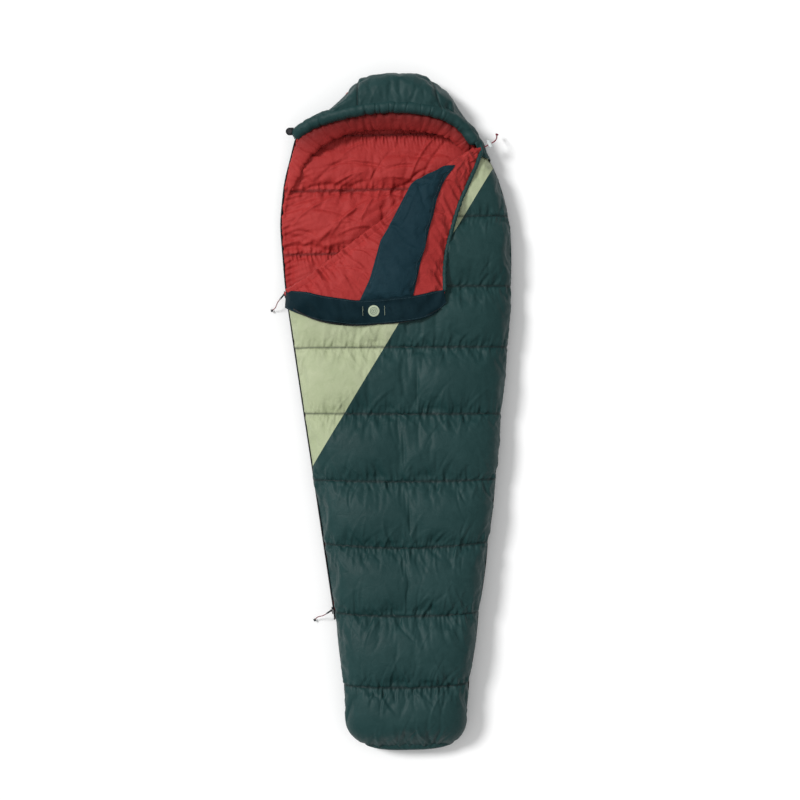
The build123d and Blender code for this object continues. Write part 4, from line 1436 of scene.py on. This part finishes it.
rings_dark = fabric("patch_dark_thread", (0.04, 0.075, 0.065), (0.07, 0.11, 0.09), roughness=0.8, weave=2200.0)
patch = grid_mesh("badge_patch", np.array(patch_points), [rings_pale, rings_dark], wrap=True)
for face in patch.data.polygons:
    ring_number = face.index // PATCH_SIDES
    face.material_index = 1 if ring_number in (0, 1, 2, 8, 9, 15, 16) else 0
finish_piece(patch, "flap", ["badge"])
print("patch is", round(2000 * badge_r, 1), "mm across")

# %% [markdown]
# The piping is a thin gathered tube along the flap's neck edge, laid at the flap's height there.

# %% Piping along the neck edge
PIPING = [
    (0.274, 0.813, 0), (0.253, 0.762, 0), (0.227, 0.706, 0), (0.204, 0.657, 0), (0.185, 0.604, 0),
    (0.168, 0.546, 0), (0.155, 0.497, 0), (0.148, 0.446, 0), (0.147, 0.372, 0),
]
pipe_line = soft_line(PIPING, 200, 5)
pipe_line[:, 2] = drape_on(flap_surface, pipe_line[:, 0] - 0.007, pipe_line[:, 1])
pipe_line[:, 2] = smooth(pipe_line[:, 2], 6) + 0.001
piping = gathered_tube("neck_piping_cloth", pipe_line, 0.0066, 0.12, 0.014, green_taffeta, 21, around=18)
finish_piece(piping, "flap", ["neck_piping"])
print("piping is", distance_along(pipe_line)[-1].round(2), "m long")

# %% [markdown]
# ## The crest of the fold
# At the fold the front doubles back on itself. Its lining makes a soft roll over the crest, and its
# shell a tight bend inside it. The crest is lower at its two ends.

# %% Crest roll and the bend of the shell
CREST_BULGE = 0.006
roll_points, bend_points = [], []
crest_steps = np.linspace(0.004, 0.742, 210)
for along in crest_steps:
    edge = flap_plan(along, np.array([0.0]))[0]
    inside = edge - FOLD_SIDE[:2] * 0.013
    ground = float(arch_height(edge[0], edge[1]))
    high = float(drape_on(flap_surface, inside[:1], inside[1:2])[0]) + 0.0006
    low = max(ground - 0.031, PARTING_Z + 0.003)
    phi = np.linspace(-math.pi / 2, math.pi / 2, 13)
    wrinkle = 1 + 0.35 * math.sin(along * 210 + 2 * math.sin(along * 47)) * math.sin(along * 91 + 1)
    out = np.concatenate([[-0.013], CREST_BULGE * wrinkle * np.cos(phi), [-0.013]])
    height = np.concatenate([[low], (low + high) / 2 + (high - low) / 2 * np.sin(phi), [high]])
    plan = edge[None, :] + FOLD_SIDE[None, :2] * out[:, None]
    roll_points.append(np.column_stack([plan, height]))
    out = np.array([-0.012, -0.004, 0.0, -0.004, -0.012])
    plan = edge[None, :] + FOLD_SIDE[None, :2] * out[:, None]
    bend_points.append(np.column_stack([plan, ground + np.array([-0.003, -0.0025, 0.0005, 0.0035, 0.004])]))
crest_roll = grid_mesh("fold_crest_lining", np.array(roll_points)[:, ::-1], [red_taffeta])
refine(crest_roll)
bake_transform(crest_roll)
crest_bend = grid_mesh("fold_crest_shell", np.array(bend_points), [sage_taffeta])
refine(crest_bend)
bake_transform(crest_bend)
print("crest has", len(crest_steps), "steps")

# %% [markdown]
# ## Stitching
# Every quilting seam is a row of lock stitches that sinks into the cloth. The collar and the band
# are topstitched a few millimetres inside their edges.

# %% Stitch rows
def stitch_row(name, lines, surface, body, material, step=0.0042, length=0.0028, width=0.0009):
    """Rows of short raised stitches where lines lie on a surface."""
    points, faces = [], []
    box_faces = [(0, 1, 2, 3), (4, 7, 6, 5), (0, 4, 5, 1), (1, 5, 6, 2), (2, 6, 7, 3), (3, 7, 4, 0)]
    for line in lines:
        count = max(2, int(distance_along(line)[-1] / step))
        run = resample(np.asarray(line), count)
        way = np.gradient(run, axis=0)
        for at, direction in zip(run, way):
            place, normal, index, gap = surface.find_nearest(Vector(at))
            if place is None or gap > 0.012:
                continue
            normal = np.array(normal) * (1 if normal.z > 0 else -1)
            direction = direction / np.linalg.norm(direction)
            side = np.cross(normal, direction)
            side /= np.linalg.norm(side)
            base = len(points)
            for lift, shrink in ((-0.0003, 1.0), (0.0007, 0.72)):
                for a, b in ((-1, -1), (1, -1), (1, 1), (-1, 1)):
                    points.append(np.array(place) + normal * lift + direction * a * length / 2 * shrink
                                  + side * b * width / 2 * shrink)
            faces += [tuple(base + i for i in face) for face in box_faces]
    mesh = bpy.data.meshes.new(name)
    mesh.from_pydata([tuple(p) for p in points], [], faces)
    mesh.materials.append(material)
    made = bpy.data.objects.new(name, mesh)
    bpy.context.scene.collection.objects.link(made)
    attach(made, body)
    print(name, "has", len(faces) // 6, "stitches")
    return made


# %% [markdown]
# Stitches are only made where the seam is seen, so the part of each seam under the flap is left out.

# %% Stitches of the panels
seam_lines_bare = []
for line in front_seam_lines:
    along_here, reach_here = on_fold(line)
    hidden = (along_here > 0) & (reach_here < flap_reach(along_here) + 0.002)
    bare = line[~hidden]
    if len(bare) > 3:
        seam_lines_bare.append(bare)
stitch_row("front_seam_stitches", seam_lines_bare, front_surface, "bag", thread_green)
corner_line = np.array([(*(SEAM_LOW * (1 - t) + SEAM_HIGH * t), 0.13) for t in np.linspace(0.03, 0.99, 120)])
corner_line[:, 2] = drape_on(front_surface, corner_line[:, 0], corner_line[:, 1])
corner_line = corner_line + [0.004, -0.003, 0]
along_here, reach_here = on_fold(corner_line)
open_part = (along_here < 0) | (reach_here > flap_reach(along_here) + 0.004)
corner_halves = (corner_line[:60][open_part[:60]], corner_line[60:][open_part[60:]])
corner_runs = [run for run in corner_halves if len(run) > 3]
stitch_row("corner_seam_stitches", corner_runs, front_surface, "bag", thread_green)
lining_surface = mesh_tree(lining)
stitch_row("lining_seam_stitches", lining_seam_lines[1:-1], lining_surface, "bag", thread_red)

# %% Stitches on the band, the patch and the collar
band_edges = [band_low * (1 - t) + band_top * t + [0, 0, 0.15] for t in (0.07, 0.93)]
for line in band_edges:
    line[:, 2] = drape_on(band_surface, line[:, 0], line[:, 1])
stitch_row("band_stitches", band_edges, band_surface, "flap", thread_navy)
tack_lines = []
for x in (badge_x - 0.034, badge_x + 0.034):
    y = np.linspace(badge_y - 0.013, badge_y + 0.013, 12)
    across = np.full_like(y, x)
    tack_lines.append(np.stack([across, y, drape_on(band_surface, across, y)], axis=1))
stitch_row("patch_bar_tacks", tack_lines, band_surface, "flap", rings_pale, 0.0022, 0.0019, 0.0012)
collar_surface = mesh_tree(collar)
collar_edges = [collar_now[8:-3, 1] + [0.002, 0, 0], collar_now[8:-3, -2] - [0.002, 0, 0]]
stitch_row("collar_stitches", collar_edges, collar_surface, "flap", thread_navy)

# %% [markdown]
# ## The zip
# A coil zip is two spirals of nylon sewn to two tapes. Each coil is made as a real spiral. The
# sliders and their tabs are cast pieces that the frame already holds.

# %% Coils
COIL_RADIUS, COIL_PITCH, COIL_WIRE, COIL_STEPS = 0.0012, 0.0024, 0.00045, 7


def spiral(name, line, phase=0.0):
    """A nylon coil that winds round a line, as a wire with four sides."""
    length = np.linalg.norm(np.diff(line, axis=0), axis=1).sum()
    core = resample(line, int(length / COIL_PITCH) * COIL_STEPS)
    way, up, side = frame_along(core)
    angle = np.arange(len(core)) * 2 * math.pi / COIL_STEPS + phase
    wound = core + COIL_RADIUS * (np.cos(angle)[:, None] * up + np.sin(angle)[:, None] * side)
    way, up, side = frame_along(wound)
    corners = [(1, 0), (0, 1), (-1, 0), (0, -1)]
    points = np.stack([wound + COIL_WIRE * (a * up + b * side) for a, b in corners], axis=1)
    return grid_mesh(name, points, [coil_nylon], wrap=True)


def middle_of(name):
    """The middle of a slim CAD piece, from its low to its high end along the bag."""
    points = np.array([v.co for v in frame["nodes"][name].data.vertices])
    low, high = points[:, 1].min(), points[:, 1].max()
    first = points[points[:, 1] < low + 0.004].mean(axis=0)
    last = points[points[:, 1] > high - 0.004].mean(axis=0)
    return resample(np.array([first, last]), 4)


for name, phase in (("zip_lower_coil", 0.0), ("zip_upper_coil", math.pi)):
    coil = spiral(name + "_spiral", middle_of(name), phase)
    finish_piece(coil, "bag", [name])
mouth_y = np.linspace(0.392, 0.872, 160)
mouth_row = np.stack([left_at(mouth_y) + 0.0018, mouth_y, np.full_like(mouth_y, PARTING_Z - 0.0023)], axis=1)
mouth_coil = spiral("zip_mouth_coil_spiral", mouth_row)
finish_piece(mouth_coil, "bag", ["zip_mouth_coil"])
print("mouth coil has", len(mouth_coil.data.vertices), "points")

# %% [markdown]
# The lower tape is a narrow strip that follows the bag's outline, with the coil on its outer edge.

# %% Lower tape
TAPE_SECTION = [  # distance inside the outline, and height beside the parting
    (0.0002, -0.0042), (0.0022, -0.0036), (0.0042, -0.0020), (0.0050, -0.0040), (0.0046, -0.0130)]
tape_y = np.linspace(-0.650, 0.872, 420)
tape_rows = []
for depth, z in TAPE_SECTION:
    tape_rows.append(np.stack([left_at(tape_y) + depth, tape_y, np.full_like(tape_y, PARTING_Z + z)], axis=1))
lower_tape = grid_mesh("zip_lower_tape_cloth", np.array(tape_rows).transpose(1, 0, 2), [tape_cloth])
finish_piece(lower_tape, "bag", ["zip_lower_tape"])
print("lower tape is", round(float(tape_y[-1] - tape_y[0]), 2), "m long")

# %% [markdown]
# The small rigid pieces stay as the frame gives them, with a material of this scene.

# %% Materials of the CAD pieces that stay in view
kept = {
    "zip_upper_tape": tape_cloth, "zip_bottom_stop": coil_nylon, "zip_top_stop": coil_nylon,
    "flap_zip_tape": tape_cloth, "flap_zip_coil": coil_nylon,
    "upper_slider": slider_paint, "lower_slider": slider_paint, "upper_pull_tab": slider_paint,
    "lower_pull_tab": slider_paint, "cord_lock_barrel": lock_plastic, "cord_lock_button": lock_plastic,
    "neck_tab": tape_cloth, "neck_tab_snap": slider_paint,
}
for name, material in kept.items():
    frame["nodes"][name].data.materials.clear()
    frame["nodes"][name].data.materials.append(material)
print(len(kept), "CAD pieces stay in view")

# %% [markdown]
# ## Pull cords and the drawcord's tail
# Each slider's tab carries a thin cord with a knot at its end, and the hood's drawcord comes out
# through the cord lock. Each route is a few points that a smooth spline follows.

# %% Cord curves and knots
KNOT_SIZE, KNOT_CORD = 0.0054, 0.0014


def cord_curve(name, points, diameter, material):
    """A round cord along a smooth spline whose controls are the given points."""
    data = bpy.data.curves.new(name, "CURVE")
    data.dimensions = "3D"
    data.bevel_depth = diameter / 2
    data.bevel_resolution = 4
    data.use_fill_caps = True
    spline = data.splines.new("NURBS")
    spline.points.add(len(points) - 1)
    for control, point in zip(spline.points, points):
        control.co = (*point, 1)
    spline.order_u = 3
    spline.use_endpoint_u = True
    spline.resolution_u = 10
    data.materials.append(material)
    made = bpy.data.objects.new(name, data)
    bpy.context.scene.collection.objects.link(made)
    return made


def knot_mesh(name, centre, way, material):
    """An overhand knot: a closed three-lobed loop of cord."""
    turn = np.linspace(0, 2 * math.pi, 120, endpoint=False)
    loop = np.stack([
        np.sin(turn) + 2 * np.sin(2 * turn), np.cos(turn) - 2 * np.cos(2 * turn),
        -np.sin(3 * turn) * 1.2], axis=1)
    loop = loop / 3.4 * (KNOT_SIZE - KNOT_CORD)
    points = np.vstack([loop, loop[:1]])
    direction = np.gradient(points, axis=0)
    direction /= np.linalg.norm(direction, axis=1, keepdims=True)
    reference = np.array([0.13, 0.29, 0.95])
    side = np.cross(direction, reference)
    side /= np.linalg.norm(side, axis=1, keepdims=True)
    up = np.cross(side, direction)
    around = np.linspace(0, 2 * math.pi, 10, endpoint=False)
    tube = points[:, None] + 0.0016 * (np.cos(around)[None, :, None] * up[:, None]
                                       + np.sin(around)[None, :, None] * side[:, None])
    made = grid_mesh(name, tube, [material], wrap=True)
    rotation = Vector(way).to_track_quat("Z", "Y").to_matrix()
    turned = tube.reshape(-1, 3) @ np.array(rotation).T + np.array(centre)
    write_points(made, turned)
    return made


def middle_of_box(name):
    """The middle of a CAD node's box."""
    return [(a + b) / 2 for a, b in zip(*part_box(name))]


print("knots are about", round(2000 * KNOT_SIZE, 1), "mm across")

# %% [markdown]
# A pull cord starts at the eye of its slider's tab, runs down over the bag's edge and ends just
# above the floor. The two cords sway to opposite sides.

# %% Pull cords
def pull_points(joint, tab_turn, sway):
    """The pull cord's route out of its tab, down over the bag's edge and along the floor."""
    pin = np.array(joints[joint]["pos_m"])
    out = np.array([math.cos(math.radians(tab_turn)), math.sin(math.radians(tab_turn)), 0])
    side = np.array([-out[1], out[0], 0])
    hand = [(0.0188, 0, 0.040), (0.029, 0, 0.038), (0.039, sway, 0.030), (0.049, 2 * sway, 0.021),
            (0.058, sway, 0.012)]
    return [tuple(pin * [1, 1, 0] + out * reach + side * s + [0, 0, z]) for reach, s, z in hand]


for name, turn, sway in (("upper", 228.0, 0.003), ("lower", 212.0, -0.003)):
    route = pull_points(name + "_pull_swing", turn, sway)
    cord = cord_curve(name + "_pull_braid", route, 0.0028, maroon_braid)
    way = np.array(route[-1]) - np.array(route[-2])
    tied = knot_mesh(name + "_pull_knot_braid", middle_of_box(name + "_pull_knot"), way, coil_nylon)
    finish_piece(tied, name + "_zip_pull", [name + "_pull_knot"])
    finish_piece(cord, name + "_zip_pull", [name + "_pull_cord"])
    print(name, "pull cord starts at", [round(c, 3) for c in route[0]])

# %% [markdown]
# The drawcord's tail comes out of the cord lock and hangs down beside the hood.

# %% Drawcord tail
tail_source = np.array([v.co for v in frame["nodes"]["drawcord_tail"].data.vertices])
tail_start = tail_source[tail_source[:, 0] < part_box("drawcord_tail")[0][0] + 0.004].mean(axis=0)
tail_route = [tuple(tail_start), (0.286, 0.8285, 0.074), (0.313, 0.842, 0.074), (0.321, 0.852, 0.063),
              (0.323, 0.861, 0.048), (0.324, 0.867, 0.036)]
tail = cord_curve("drawcord_tail_braid", tail_route, 0.004, maroon_braid)
tail_knot = knot_mesh("drawcord_knot_braid", middle_of_box("drawcord_knot"), (0.1, 0.4, -0.9), maroon_braid)
finish_piece(tail_knot, "bag", ["drawcord_knot"])
finish_piece(tail, "bag", ["drawcord_tail"])
print("tail starts at", [round(float(c), 3) for c in tail_start])
